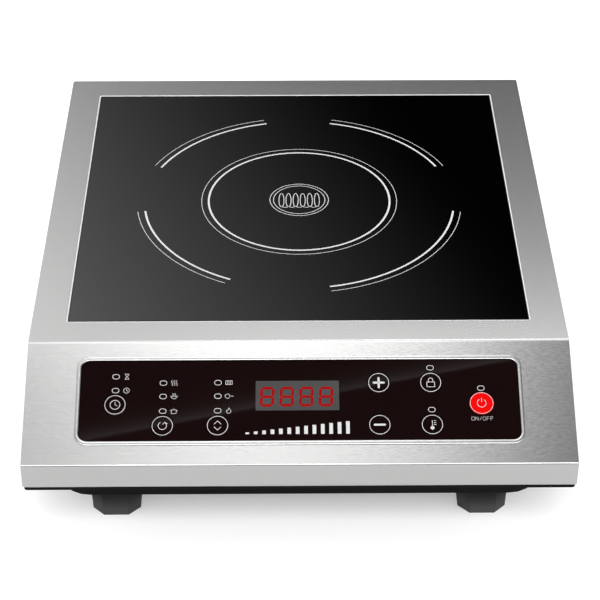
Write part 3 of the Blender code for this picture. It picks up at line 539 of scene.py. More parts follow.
def addPiece(name, mesh, finish, body="hob", stands=(), edge=0.0):
    made = linkObject(name, mesh)
    mesh.materials.clear()
    mesh.materials.append(finishes[finish])
    mesh.shade_smooth()
    mesh.set_sharp_from_angle(angle=pieceLook["sharp"])
    if edge:
        bevel = made.modifiers.new("edge", "BEVEL")
        bevel.width = edge
        bevel.segments = pieceLook["edgeSteps"]
        bevel.limit_method = "ANGLE"
        bevel.angle_limit = pieceLook["sharp"]
        bevel.harden_normals = True
    flow = made.modifiers.new("normals", "WEIGHTED_NORMAL")
    flow.keep_sharp = True
    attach(made, body)
    if stands:
        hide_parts(*stands)
    return made


# Where the slope and its panel lie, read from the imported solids


def reach(node, axis):
    along = [vertex.co.dot(axis) for vertex in nodes[node].data.vertices]
    return min(along), max(along)


def spanOf(node, axis):
    low, high = reach(node, axis)
    return (low + high) / 2, (high - low) / 2


press = next(joint for joint in frame["joints"] if joint["name"] == "power_press")
panelOut = -Vector(press["axis"]).normalized()
panelRight = Vector((1.0, 0.0, 0.0))
panelRise = panelOut.cross(panelRight)

panelLook = {
    "flange": 0.0030,  # edge of the plate hidden behind the steel
    "step": -0.0015,
    "back": -0.0033,
    "past": 0.0010,  # how far the cutters reach past the plate
    "corner": 0.0050,
    "cornerSteps": 12,
    "fit": 0.0003,
    "windowFit": 0.0001,
    "keySkirt": 0.0009,  # skirt past the cap
    "keySkirtTop": -0.0036,
    "keySkirtBack": -0.0046,
    "keyEdge": 0.0002,
    "windowDeep": 0.0010,
    "windowCorner": 0.0003,
    "windowSteps": 4,
}

plateX, plateHalfX = spanOf("panel_plate", panelRight)
plateY, plateHalfY = spanOf("panel_plate", panelRise)
panelHalfX = plateHalfX - panelLook["flange"]
panelHalfY = plateHalfY - panelLook["flange"]
panelOrigin = panelRight * plateX + panelRise * plateY + panelOut * reach("panel_plate", panelOut)[1]
panelMatrix = framed(panelRight, panelRise, panelOut, panelOrigin)


def onPanel(node):
    # centre and half size of a node, in the panel's own plane
    x, halfX = spanOf(node, panelRight)
    y, halfY = spanOf(node, panelRise)
    return x - plateX, y - plateY, halfX, halfY


keyBodies = {}
for bodyName, members in frame["record"]["behaviour"]["bodies"].items():
    for member in members:
        if member.startswith("key_"):
            keyBodies[member] = bodyName
print("panel:", [round(value, 4) for value in panelOrigin], "keys:", len(keyBodies))


# Folded steel shell

shellLook = {
    "sheet": 0.0012,
    "ridge": 0.0045,
    "fold": 0.0016,
    "bendSteps": 8,
    "side": 0.0014,
    "sideSteps": 4,
    "sideFacing": 0.75,  # faces that look this far sideways are brushed front to back
    "lowBand": 0.0003,  # the underside is the largest face within this of the lowest
    "return": 0.0120,
    "slotCount": 22,
    "slotWidth": 0.0034,
    "slotHeight": 0.0240,
    "slotPitch": 0.0090,
    "slotRound": 0.96,
    "slotSteps": 5,
    "screwHole": 0.0018,
    "screwSteps": 24,
    "glassCorner": 0.0020,
    "glassSteps": 6,
    "past": 0.0010,  # how far the cutters reach past the sheet
    "grainFar": 50.0,
}


def makeShell():
    low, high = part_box("steel_shell")
    ridge = panelOrigin + panelRise * ((high.z - panelOrigin.z) / panelRise.z)
    brow = panelOrigin + panelRise * ((low.y - panelOrigin.y) / panelRise.y)
    corners = (
        (high.y, low.z),
        (high.y, high.z),
        (ridge.y, high.z),
        (low.y, brow.z),
        (low.y, low.z),
    )
    ridgeBend, fold = shellLook["ridge"], shellLook["fold"]
    profile = filleted(corners, (fold, fold, ridgeBend, fold, fold), shellLook["bendSteps"])
    shape = loft([[(x, y, z) for y, z in profile] for x in (low.x, high.x)])
    rims = [edge for edge in shape.edges if abs(sum(vert.co.x for vert in edge.verts)) > high.x]
    bmesh.ops.bevel(
        shape,
        geom=rims,
        offset=shellLook["side"],
        segments=shellLook["sideSteps"],
        profile=0.5,
        affect="EDGES",
    )
    lowLine = low.z + shellLook["lowBand"]
    lowest = [face for face in shape.faces if face.calc_center_median().z < lowLine]
    underside = max(lowest, key=lambda face: face.calc_area())
    bmesh.ops.inset_individual(shape, faces=[underside], thickness=shellLook["return"])
    bmesh.ops.delete(shape, geom=[underside], context="FACES")

    past = shellLook["past"]
    deep = -shellLook["sheet"] - past
    glassLow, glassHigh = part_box("glass_plate")
    middleY = (glassLow.y + glassHigh.y) / 2
    halfX = (glassHigh.x - glassLow.x) / 2 + sealLine
    halfY = (glassHigh.y - glassLow.y) / 2 + sealLine
    corner, steps = shellLook["glassCorner"], shellLook["glassSteps"]
    opening = roundedOutline(halfX, halfY, corner, steps, (0.0, middleY))
    window = roundedOutline(
        panelHalfX + panelLook["fit"],
        panelHalfY + panelLook["fit"],
        panelLook["corner"] + panelLook["fit"],
    )
    slots = bmesh.new()
    first = -shellLook["slotPitch"] * (shellLook["slotCount"] - 1) / 2
    halfSlot, halfTall = shellLook["slotWidth"] / 2, shellLook["slotHeight"] / 2
    for n in range(shellLook["slotCount"]):
        place = (first + n * shellLook["slotPitch"], 0.0)
        corner = halfSlot * shellLook["slotRound"]
        slab(roundedOutline(halfSlot, halfTall, corner, shellLook["slotSteps"], place), deep, past, slots)
    rearMiddle = Matrix.Translation((0, high.y, (low.z + high.z) / 2))
    rear = rearMiddle @ Matrix.Rotation(-math.pi / 2, 4, "X")
    holes = bmesh.new()
    for name in nodes:
        if name.startswith("case_screw_"):
            screwLow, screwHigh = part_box(name)
            centre = ((screwLow.x + screwHigh.x) / 2, (screwLow.y + screwHigh.y) / 2)
            outline = circleOutline(shellLook["screwHole"], shellLook["screwSteps"], centre)
            slab(outline, low.z - past, low.z - deep, holes)
    cutters = (
        (slab(opening, high.z + deep, high.z + past), None),
        (slab(window, deep, past), panelMatrix),
        (slots, rear),
        (holes, None),
    )
    mesh = cutMesh("steel_shell", shape, cutters, shellLook["sheet"])
    addPiece("folded_shell", mesh, "steel", stands=("steel_shell",))
    mesh.materials.append(finishes["steelSide"])
    # a far centre of generated coordinates, so that the grain's tangent runs straight along X
    mesh.use_auto_texspace = False
    mesh.texspace_location = (0.0, shellLook["grainFar"], 0.0)
    mesh.texspace_size = (1.0, 1.0, 1.0)
    for face in mesh.polygons:
        face.material_index = 1 if abs(face.normal.x) > shellLook["sideFacing"] else 0


# Ceramic glass, its seal and its print

glassLook = {
    "corner": 0.0008,
    "cornerSteps": 6,
    "cornerShare": 0.9,  # how much of the edge's inset the corner takes up
    "edge": 0.0006,
    "edgeSteps": 4,
    "flatFacing": 0.99,
    "sealLine": 0.0009,
    "sealGap": 0.00005,
    "sealCrown": 0.00020,
    "sealDeep": 0.0030,
    "sealSteps": 6,
}
sealLine = glassLook["sealLine"]


def makeGlass():
    low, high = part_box("glass_plate")
    halfX, halfY = (high.x - low.x) / 2, (high.y - low.y) / 2
    centre = ((low.x + high.x) / 2, (low.y + high.y) / 2)
    edge, corner, steps = glassLook["edge"], glassLook["corner"], glassLook["cornerSteps"]
    rings = []
    for step in range(2 * glassLook["edgeSteps"] + 2):
        upper = step > glassLook["edgeSteps"]
        turn = (step - (1 if upper else 0)) / (2 * glassLook["edgeSteps"]) * math.pi
        inset = edge * (1 - math.sin(turn))
        rise = edge * (1 - abs(math.cos(turn)))
        radius = corner - inset * glassLook["cornerShare"]
        outline = roundedOutline(halfX - inset, halfY - inset, radius, steps, centre)
        z = high.z - rise if upper else low.z + rise
        rings.append([(x, y, z) for x, y in outline])
    mesh = meshOf("ceramic_glass", loft(rings))
    addPiece("ceramic_glass", mesh, "glass", stands=("glass_plate",))
    mesh.materials.append(finishes["glassEdge"])
    for face in mesh.polygons:
        face.material_index = 1 if abs(face.normal.z) < glassLook["flatFacing"] else 0

    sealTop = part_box("glass_seal")[1].z
    sealFoot = sealTop - glassLook["sealDeep"]
    gap = glassLook["sealGap"]
    bead = [(gap, sealFoot), (sealLine - gap, sealFoot)]
    for step in range(glassLook["sealSteps"] + 1):
        share = 1 - 2 * step / glassLook["sealSteps"]
        out = sealLine / 2 + (sealLine / 2 - gap) * share
        bead.append((out, sealTop - glassLook["sealCrown"] * share * share))
    rings = []
    for out, z in bead:
        outline = roundedOutline(halfX + out, halfY + out, corner + out, steps, centre)
        rings.append([(x, y, z) for x, y in outline])
    addPiece(
        "seal_bead",
        meshOf("seal_bead", loft(rings, endless=True)),
        "silicone",
        stands=("glass_seal",),
    )


# Thin printed shapes, each a closed ribbon or patch

penLook = {
    "thickness": 0.00003,
    "fewest": 12,  # steps of an arc: at least, and for a whole turn, more past this radius
    "wholeTurn": 40,
    "finePast": 0.006,
    "endTurns": (30, 55, 75),
    "dotSteps": 24,
    "sharpest": 0.5,
}


class Pen:
    def __init__(self, shape, place=(0.0, 0.0), unit=1.0, width=0.0, low=0.0):
        self.shape = shape
        self.place = place
        self.unit = unit
        self.width = width
        self.low = low
        self.high = low + penLook["thickness"]

    def at(self, x, y):
        return Vector((self.place[0] + x * self.unit, self.place[1] + y * self.unit))

    def ribbon(self, stations, closed):
        rows = []
        for left, right in stations:
            corners = ((left, self.high), (right, self.high), (right, self.low), (left, self.low))
            rows.append([self.shape.verts.new((point.x, point.y, z)) for point, z in corners])
        pairs = list(zip(rows, rows[1:]))
        if closed:
            pairs.append((rows[-1], rows[0]))
        else:
            self.shape.faces.new(rows[0])
            self.shape.faces.new(rows[-1][::-1])
        for here, after in pairs:
            for side in range(4):
                over = (side + 1) % 4
                self.shape.faces.new((here[side], here[over], after[over], after[side]))

    def line(self, *points, closed=False, width=None):
        half = (width or self.width) / 2
        path = [self.at(x, y) for x, y in points]
        count = len(path)
        stations = []
        for n, here in enumerate(path):
            back = path[n - 1] if n or closed else None
            ahead = path[(n + 1) % count] if n + 1 < count or closed else None
            into = (here - back).normalized() if back else (ahead - here).normalized()
            away = (ahead - here).normalized() if ahead else into
            along = (into + away).normalized()
            across = Vector((-along.y, along.x)) * (half / max(penLook["sharpest"], along.dot(into)))
            stations.append((here + across, here - across))
        if not closed:
            stations = self.capped(path[0], path[1], half)[::-1] + stations
            stations += [(right, left) for left, right in self.capped(path[-1], path[-2], half)]
        self.ribbon(stations, closed)

    def capped(self, end, inner, half):
        # the stations of a round end, seen from inside the line outwards
        out = (end - inner).normalized()
        side = Vector((out.y, -out.x))
        stations = []
        for turn in penLook["endTurns"]:
            tip = end + out * half * math.sin(math.radians(turn))
            aside = side * half * math.cos(math.radians(turn))
            stations.append((tip + aside, tip - aside))
        return stations

    def arc(self, x, y, radius, start=0.0, end=360.0, width=None):
        half = (width or self.width) / 2
        centre = self.at(x, y)
        size = radius * self.unit
        whole = abs(end - start) >= 360
        finer = max(1.0, (size / penLook["finePast"]) ** 0.5)
        steps = max(penLook["fewest"], int(abs(end - start) / 360 * penLook["wholeTurn"] * finer))
        stations = []
        for step in range(steps + (0 if whole else 1)):
            turn = math.radians(start + (end - start) * step / steps)
            arm = Vector((math.cos(turn), math.sin(turn)))
            stations.append((centre + arm * (size + half), centre + arm * (size - half)))
        self.ribbon(stations, whole)

    def patch(self, *points):
        path = [self.at(x, y) for x, y in points]
        slab([(point.x, point.y) for point in path], self.low, self.high, self.shape)

    def dot(self, x, y, radius):
        outline = circleOutline(radius * self.unit, penLook["dotSteps"], self.at(x, y))
        slab(outline, self.low, self.high, self.shape)


glassPrint = {
    "centre": (0.00155, 0.03365),
    "thick": 0.0013,
    "thin": 0.0004,
    "innerThick": 0.06115,
    "innerThin": 0.0659,
    "outerThick": 0.1042,
    "outerThin": 0.1092,
    "thickArcs": ((102.5, 156.1), (-172.6, -115.5), (24.0, 77.3), (-79.7, -8.2)),
    "thinArcs": ((102.9, 155.8), (-172.5, -116.1), (23.3, 77.2), (-79.7, -8.4)),
    "signRings": (0.0174, 0.0198),
    "signLine": 0.00046,
    "loops": 6,
    "loopSteps": 28,
    "loopTail": 0.42,  # turn left off at either end, in radians
    "loopPitch": 0.00479,
    "loopHalf": 0.0017,
    "loopHop": 0.12,  # share of a turn, on either side of its foot, in which the wire moves on
    "loopHeight": 0.0175,
    "loopDrop": 0.0008,
}


def makeGlassPrint():
    look = glassPrint
    shape = bmesh.new()
    pen = Pen(shape, look["centre"], 1.0, look["thick"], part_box("glass_plate")[1].z)
    pen.arc(0, 0, look["innerThick"])
    pen.arc(0, 0, look["innerThin"], width=look["thin"])
    for start, end in look["thickArcs"]:
        pen.arc(0, 0, look["outerThick"], start, end)
    for start, end in look["thinArcs"]:
        pen.arc(0, 0, look["outerThin"], start, end, look["thin"])
    for radius in look["signRings"]:
        pen.arc(0, 0, radius, width=look["signLine"])
    # a wire wound in loops, the usual sign for a heating coil
    path = []
    steps = look["loopSteps"] * look["loops"]
    tail = look["loopTail"]
    for step in range(steps + 1):
        turn = tail + (2 * math.pi * look["loops"] - 2 * tail) * step / steps
        foot = round(turn / (2 * math.pi))
        past = turn / (2 * math.pi) - foot
        share = min(1.0, abs(past) / look["loopHop"])
        hop = math.copysign(share * share * (3 - 2 * share) / 2, past)
        x = look["loopPitch"] * (foot + hop - look["loops"] / 2) + look["loopHalf"] * math.sin(turn)
        path.append((x, -look["loopHeight"] / 2 * math.cos(turn) - look["loopDrop"]))
    pen.line(*path, width=look["signLine"])
    addPiece("glass_print", meshOf("glass_print", shape), "glassPrint")


# Control panel

bezelLook = {
    "width": 0.0025,
    "height": 0.0007,
    "lift": 0.0001,  # straight part of the side, under the round
    "steps": 10,
    "flat": 0.8,  # under 1 flattens the round across and in height
    "crown": 0.7,
}


def makePanel():
    look = panelLook

    def wider(out):
        corner, steps = look["corner"] + out, look["cornerSteps"]
        return roundedOutline(panelHalfX + out, panelHalfY + out, corner, steps)

    face, back = wider(0.0), wider(look["flange"])
    levels = ((back, look["back"]), (back, look["step"]), (face, look["step"]), (face, 0.0))
    rings = [[(x, y, z) for x, y in outline] for outline, z in levels]
    holes = bmesh.new()
    deep, past = look["back"] - look["past"], look["past"]
    for name in keyBodies:
        x, y, halfX, _ = onPanel(name)
        radius = halfX - look["keySkirt"] + look["fit"]
        slab(circleOutline(radius, centre=(x, y)), deep, past, holes)
    x, y, halfX, halfY = onPanel("display_window")
    fit = look["windowFit"]
    corner, steps = look["windowCorner"] + fit, look["windowSteps"]
    slab(roundedOutline(halfX + fit, halfY + fit, corner, steps, (x, y)), deep, past, holes)
    mesh = cutMesh("panel_plate", loft(rings), ((holes, panelMatrix),), matrix=panelMatrix)
    addPiece("panel_film", mesh, "panel_black", stands=("panel_plate",))

    # polished frame, half round and flattened, with its foot on the slope
    inside, outside = look["fit"], look["fit"] + bezelLook["width"]
    foot = look["fit"] + bezelLook["lift"]
    bead = [(inside, look["fit"]), (outside, look["fit"])]
    for step in range(bezelLook["steps"] + 1):
        turn = math.pi * step / bezelLook["steps"]
        sway = math.copysign(abs(math.cos(turn)) ** bezelLook["flat"], math.cos(turn))
        rise = (bezelLook["height"] - foot) * math.sin(turn) ** bezelLook["crown"]
        bead.append(((inside + outside + sway * bezelLook["width"]) / 2, foot + rise))
    rings = [[(x, y, z) for x, y in wider(out)] for out, z in bead]
    addPiece(
        "polished_bezel",
        meshOf("polished_bezel", loft(rings, endless=True), panelMatrix),
        "chrome_trim",
        stands=("panel_bezel",),
    )


def makeKeys():
    look = panelLook
    for name, body in keyBodies.items():
        x, y, halfX, _ = onPanel(name)
        radius = halfX - look["keySkirt"]
        profile = (
            (0, 0),
            (radius - look["keyEdge"], 0),
            (radius, -look["keyEdge"]),
            (radius, look["keySkirtTop"]),
            (halfX, look["keySkirtTop"]),
            (halfX, look["keySkirtBack"]),
            (0, look["keySkirtBack"]),
        )
        mesh = meshOf(name, turned(profile), panelMatrix @ Matrix.Translation((x, y, 0)))
        finish = "key_red" if name == "key_power" else "panel_black"
        addPiece(name + "_cap", mesh, finish, body, (name,))


digitLook = {
    "count": 4,
    "pitch": 0.0118,
    "width": 0.0087,
    "height": 0.0131,
    "stroke": 0.00172,
    "gap": 0.00012,
    "slant": math.tan(math.radians(2.5)),
    "offset": (-0.0005, -0.0008),  # middle of the digits from the middle of the window
}


def makeDisplay():
    x, y, halfX, halfY = onPanel("display_window")
    corner, steps = panelLook["windowCorner"], panelLook["windowSteps"]
    window = roundedOutline(halfX, halfY, corner, steps, (x, y))
    mesh = meshOf("display_face", slab(window, -panelLook["windowDeep"], 0.0), panelMatrix)
    addPiece("display_face", mesh, "display_grey", stands=("display_window",))

    look = digitLook
    shape = bmesh.new()
    stroke, gap = look["stroke"], look["gap"]
    halfW, halfH = look["width"] / 2 - stroke / 2, look["height"] / 2 - stroke / 2
    slant = look["slant"]
    # the six corners of a digit, clockwise from the upper left, and the corners that its bars join
    rightEnds = ((halfW, halfH), (halfW, 0), (halfW, -halfH))
    ends = ((-halfW, halfH), *rightEnds, (-halfW, -halfH), (-halfW, 0))
    bars = ((0, 1), (1, 2), (2, 3), (3, 4), (4, 5), (5, 0), (5, 2))
    for n in range(look["count"]):
        middle = x + look["offset"][0] + (n - (look["count"] - 1) / 2) * look["pitch"]
        pen = Pen(shape, (middle, y + look["offset"][1]))
        for first, last in bars:
            start, end = Vector(ends[first]), Vector(ends[last])
            along = (end - start).normalized()
            across = Vector((-along.y, along.x)) * stroke / 2
            start, end = start + along * gap, end - along * gap
            points = (
                start,
                start + along * stroke / 2 + across,
                end - along * stroke / 2 + across,
                end,
                end - along * stroke / 2 - across,
                start + along * stroke / 2 - across,
            )
            pen.patch(*[(point.x + slant * point.y, point.y) for point in points])
    addPiece("display_digits", meshOf("display_digits", shape, panelMatrix), "digit")


# Signs, drawn in units of half their size


def waved(x, low, high, swing, steps=14):
    points = []
    for step in range(steps + 1):
        share = step / steps
        points.append((x + swing * math.sin(2 * math.pi * share), low + (high - low) * share))
    return points


def clockSign(pen):
    pen.arc(0, 0, 0.95)
    pen.line((0, 0.55), (0, 0), (0.42, -0.25))


def delaySign(pen):
    pen.line((-0.7, 0.95), (0.7, 0.95))
    pen.line((-0.7, -0.95), (0.7, -0.95))
    pen.line((-0.5, 0.9), (-0.5, 0.55), (0.5, -0.55), (0.5, -0.9))
    pen.line((0.5, 0.9), (0.5, 0.55), (-0.5, -0.55), (-0.5, -0.9))


def steamSign(pen):
    for x in (-0.75, 0, 0.75):
        pen.line(*waved(x, -0.95, 0.95, 0.22))


def bowlSign(pen):
    pen.line((-1.2, 0.1), (1.2, 0.1))
    pen.arc(0, 0.1, 0.95, 180, 360)
    pen.line(*waved(-0.35, 0.4, 1.1, 0.14))
    pen.line(*waved(0.35, 0.4, 1.1, 0.14))


def potSign(pen):
    pen.line((-0.8, 0.45), (-0.8, -0.9), (0.8, -0.9), (0.8, 0.45), closed=True)
    pen.line((-1.25, 0.1), (-0.8, 0.1))
    pen.line((0.8, 0.1), (1.25, 0.1))
    pen.line((0, 0.5), (0, 0.95))


def grillSign(pen):
    pen.line((-1.1, 0.7), (1.1, 0.7), (1.1, -0.7), (-1.1, -0.7), closed=True)
    for x in (-0.55, 0, 0.55):
        pen.line((x, 0.6), (x, -0.6))


def panSign(pen):
    pen.arc(-0.45, 0, 0.8)
    pen.line((0.4, 0), (1.5, 0))


def flameSign(pen):
    right = ((0.0, 1.05), (0.35, 0.55), (0.6, 0.25), (0.75, -0.2), (0.6, -0.7), (0.2, -0.95))
    left = ((-0.2, -0.95), (-0.6, -0.7), (-0.75, -0.2), (-0.5, 0.2), (-0.25, 0.1))
    pen.line(*right, *left, closed=True)


def cycleSign(pen):
    pen.arc(0, 0, 0.8, 120, 420)
    pen.line((0.05, 0.3), (0.45, 0.72), (0.95, 0.42))


def chooseSign(pen):
    pen.line((-0.65, 0.3), (0, 0.95), (0.65, 0.3))
    pen.line((-0.65, -0.3), (0, -0.95), (0.65, -0.3))


def plusSign(pen):
    pen.line((-0.8, 0), (0.8, 0))
    pen.line((0, 0.8), (0, -0.8))


def minusSign(pen):
    pen.line((-0.8, 0), (0.8, 0))


def lockSign(pen):
    pen.line((-0.75, 0.1), (0.75, 0.1), (0.75, -0.95), (-0.75, -0.95), closed=True)
    left = ((-0.45, 0.0), (-0.45, 0.5), (-0.32, 0.83))
    pen.line(*left, (0, 0.98), *[(-x, y) for x, y in reversed(left)])


def heatSign(pen):
    pen.dot(0, -0.7, 0.38)
    pen.line((0, -0.6), (0, 0.85))
    for y in (0.0, 0.4, 0.8):
        pen.line((0.35, y), (0.7, y))


def startSign(pen):
    pen.arc(0, 0, 0.85, 120, 420)
    pen.line((0, 0.25), (0, 1.05))


signLook = {
    "ring": 0.0061,
    "ringLine": 0.00036,
    "line": 0.00036,
    "size": 0.0031,  # half the size of a sign on a key
    "levelSize": 0.0038,
    "levelLine": 0.0013,
    "powerRing": 0.0069,
    "powerLine": 0.00028,
    "lampHalf": (0.00205, 0.00150),
    "lampRound": 0.00148,
    "lampLine": 0.00035,
    "labelSize": 0.0018,
    "labelLine": 0.00027,
    "labelAside": 0.0066,
    "scaleBars": 13,
    "scaleWidth": 0.0600,
    "scaleFill": 0.44,  # share of its pitch that a bar fills
    "scaleDrop": 0.0253,  # foot of the level scale under the middle of the display
    "scaleLow": 0.0012,
    "scaleHigh": 0.0082,
    "letterSize": 0.00118,  # half the height of a letter
    "letterLine": 0.00017,
    "letterPitch": 1.91,
    "word": "ON/OFF",
    "wordDrop": 0.0102,
}
keySigns = {
    "key_timer": clockSign,
    "key_auto": cycleSign,
    "key_select": chooseSign,
    "key_plus": plusSign,
    "key_minus": minusSign,
    "key_lock": lockSign,
    "key_temp": heatSign,
    "key_power": startSign,
}
# indicator lamps over a key, each with the sign beside it
keyLamps = {
    "key_timer": ((0.01865, delaySign), (0.0094, clockSign)),
    "key_auto": ((0.02818, steamSign), (0.01923, bowlSign), (0.00958, potSign)),
    "key_select": ((0.02828, grillSign), (0.01928, panSign), (0.00968, flameSign)),
    "key_lock": ((0.0098, None),),
    "key_temp": ((0.0097, None),),
    "key_power": ((0.0099, None),),
}


letterLines = {
    "O": (roundedOutline(0.72, 1.0, 0.60, 5),),
    "N": (((-0.70, -1.0), (-0.70, 1.0)), ((-0.70, 1.0), (0.70, -1.0)), ((0.70, -1.0), (0.70, 1.0))),
    "/": (((-0.45, -1.0), (0.45, 1.0)),),
    "F": (((-0.58, -1.0), (-0.58, 1.0), (0.60, 1.0)), ((-0.58, 0.05), (0.45, 0.05))),
}


def makePanelPrint():
    look = signLook
    for name, body in keyBodies.items():
        x, y, _, _ = onPanel(name)
        shape = bmesh.new()
        ring, ringLine, size, line = [look[key] for key in ("ring", "ringLine", "size", "line")]
        if name == "key_power":
            ring, ringLine, line = look["powerRing"], look["powerLine"], look["powerLine"]
        elif name in ("key_plus", "key_minus"):
            size, line = look["levelSize"], look["levelLine"]
        Pen(shape, (x, y), 1.0, ringLine).arc(0, 0, ring)
        keySigns[name](Pen(shape, (x, y), size, line))
        addPiece(name + "_print", meshOf(name, shape, panelMatrix), "panelPrint", body)

    shape = bmesh.new()
    lampOutline = roundedOutline(*look["lampHalf"], look["lampRound"])
    for name, lamps in keyLamps.items():
        x, y, _, _ = onPanel(name)
        for rise, sign in lamps:
            Pen(shape, (x, y + rise), 1.0, look["lampLine"]).line(*lampOutline, closed=True)
            if sign:
                place = (x + look["labelAside"], y + rise)
                sign(Pen(shape, place, look["labelSize"], look["labelLine"]))
    # a plain rising scale for the heat level
    x, y, _, _ = onPanel("display_window")
    gaps = look["scaleBars"] - 1
    pitch, fill = look["scaleWidth"] / gaps, look["scaleFill"]
    low, high = look["scaleLow"], look["scaleHigh"]
    foot = y - look["scaleDrop"]
    for n in range(look["scaleBars"]):
        left = x - look["scaleWidth"] / 2 + (n - fill / 2) * pitch
        right = left + fill * pitch
        top = foot + low + (high - low) * n / gaps
        Pen(shape).patch((left, foot), (right, foot), (right, top), (left, top))
    x, y, _, _ = onPanel("key_power")
    pen = Pen(shape, (x, y - look["wordDrop"]), look["letterSize"], look["letterLine"])
    for n, letter in enumerate(look["word"]):
        aside = look["letterPitch"] * (n - (len(look["word"]) - 1) / 2)
        for points in letterLines[letter]:
            pen.line(*[(aside + x, y) for x, y in points], closed=letter == "O")
    addPiece("panel_print", meshOf("panel_print", shape, panelMatrix), "panelPrint")


# Pieces whose solids are right, welded and softened at the edges

softLook = {
    "weld": 0.000002,
    "flat": math.radians(0.5),  # faces nearer in angle than this become one
    "footEdge": 0.0003,
    "glandEdge": 0.0004,
}


def softened(node, name, finish, edge=0.0):
    shape = bmesh.new()
    shape.from_mesh(nodes[node].data)
    bmesh.ops.remove_doubles(shape, verts=shape.verts, dist=softLook["weld"])
    bmesh.ops.dissolve_limit(
        shape, angle_limit=softLook["flat"], verts=shape.verts, edges=shape.edges
    )
    addPiece(name, meshOf(name, shape), finish, "hob", (node,), edge)


def makeBase():
    softened("base_tray", "moulded_tray", "black_plastic")
    for name in list(nodes):
        if name.startswith("foot_") and not name.startswith("foot_screw"):
            softened(name, name + "_pad", "foot_rubber", softLook["footEdge"])
    softened("cord_gland", "gland_body", "black_plastic", softLook["glandEdge"])


# Coil of stranded copper, wound as its solid is

coilLook = {
    "turns": 16,
    "inner": 0.0280,
    "pitch": 0.0046,
    "points": 48,
    "sides": 12,
    "strands": 6,
    "strandDepth": 0.00012,
    "lay": 0.024,  # length of one twist of the strands
}


def makeCoil():
    look = coilLook
    low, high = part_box("induction_coil")
    wire = (high.z - low.z) / 2
    glassLow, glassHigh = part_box("glass_plate")
    centre = (glassLow + glassHigh) / 2
    centre.z = (low.z + high.z) / 2
    rings = []
    length = 0.0
    for n in range(look["turns"] * look["points"] + 1):
        turn = n / look["points"]
        radius = look["inner"] + look["pitch"] * turn
        length += radius * 2 * math.pi / look["points"]
        arm = Vector((math.cos(2 * math.pi * turn), math.sin(2 * math.pi * turn), 0.0))
        ring = []
        for side in range(look["sides"]):
            angle = 2 * math.pi * side / look["sides"]
            twist = look["strands"] * (angle + 2 * math.pi * length / look["lay"] / look["strands"])
            size = wire - look["strandDepth"] * (0.5 - 0.5 * math.cos(twist))
            out, up = size * math.cos(angle), size * math.sin(angle)
            ring.append(centre + arm * (radius + out) + Vector((0, 0, up)))
        rings.append(ring)
    mesh = meshOf("stranded_coil", loft(rings))
    addPiece("stranded_coil", mesh, "copper", stands=("induction_coil",))


makeShell()
makeGlass()
makeGlassPrint()
makePanel()
makeKeys()
makeDisplay()
makePanelPrint()
makeBase()
makeCoil()


# Finishes of the solids that stay as they are

keptFinishes = {
    "zinc": ("glass_frame", "foot_screw_", "case_screw_", "gland_nut"),
    "circuit_board": ("control_board", "power_board"),
    "black_plastic": (
        "display_module",
        "buzzer",
        "power_transistor",
        "bridge_rectifier",
        "fan_frame",
        "fan_rotor",
        "coil_post_",
    ),
    "ferrite": ("ferrite_bar_", "choke"),
    "mica": ("mica_sheet",),
    "aluminium": ("heat_sink",),
    "cream_plastic": ("coil_carrier", "temperature_sensor", "terminal_block"),
    "capacitor_yellow": ("filter_capacitor", "resonant_capacitor", "supply_transformer"),
}
for finish, starts in keptFinishes.items():
    for name, node in nodes.items():
        if name.startswith(starts) and not node.hide_render:
            node.data.materials.clear()
            node.data.materials.append(finishes[finish])


# Floor, light and camera

studioLook = {
    "floorHalf": 30.0,
    "floor": (0.78, 0.78, 0.78),
    "floorGlow": 0.36,  # added to what the camera sees of the floor, and to what metal mirrors of it
    "floorMirror": 0.13,
    "round": 0.40,  # level round the object
    "sides": 1.80,  # pale screens to the left and right, between these heights
    "sidesFrom": (0.45, 0.75),
    "sidesFoot": (0.05, 0.15),
    "sidesHead": (0.55, 0.75),
    "key": 6.7,  # soft key light in front, between these heights
    "keyFoot": (0.62, 0.71),
    "keyHead": (0.86, 0.89),
    "keyFront": (0.32, 0.56),
    # level overhead from left to right, over half a metre per metre of height to either side
    "overhead": (
        (0.0, 0.28), (0.25, 0.34), (0.37, 0.57), (0.41, 0.76), (0.45, 0.94), (0.48, 1.0),
        (0.51, 0.98), (0.54, 0.88), (0.57, 0.72), (0.60, 0.51), (0.63, 0.27), (0.67, 0.10),
        (0.75, 0.06), (1.0, 0.14),
    ),
    "overheadPeak": 3.36,
    "overheadFoot": (0.70, 0.88),
    "overheadRise": 4.2,  # brighter towards the back, over this stretch
    "overheadSpan": (-0.4, 0.06),
    "backFrom": (0.20, 0.42),  # where what stands behind begins
    "backFoot": (0.10, 0.22),
    "backSides": (0.20, 0.35),
    "backUpper": 1.3,
    "flag": 19.0,  # grows with the square of the height over its leaning foot
    "flagFoot": 0.43,
    "flagLean": 1.0,
    "flagSpan": (0.0, 0.3),
    # level of the band behind from left to right, over this width
    "bandWidth": 0.4,
    "band": (
        (0.0, 0.10), (0.15, 0.19), (0.25, 0.27), (0.31, 0.38), (0.39, 0.52), (0.50, 0.67),
        (0.625, 0.76), (0.75, 0.80), (0.85, 0.85), (1.0, 0.87),
    ),
    "bandPeak": 6.0,
    "bandFoot": (0.598, 0.677),
    "bandHead": (0.704, 0.824),
    "slitLevel": 0.04,
    "slitFront": (-0.066, -0.056),
    "slitBack": (0.004, 0.014),
    "slitHeight": (0.90, 0.95),
    "glint": 0.50,
    "glintLean": 0.184,
    "glintPlace": 0.0272,
    "glintEdge": 0.0006,
    "glintFade": 0.0032,
    "glintSpan": (0.0, 0.2),
}


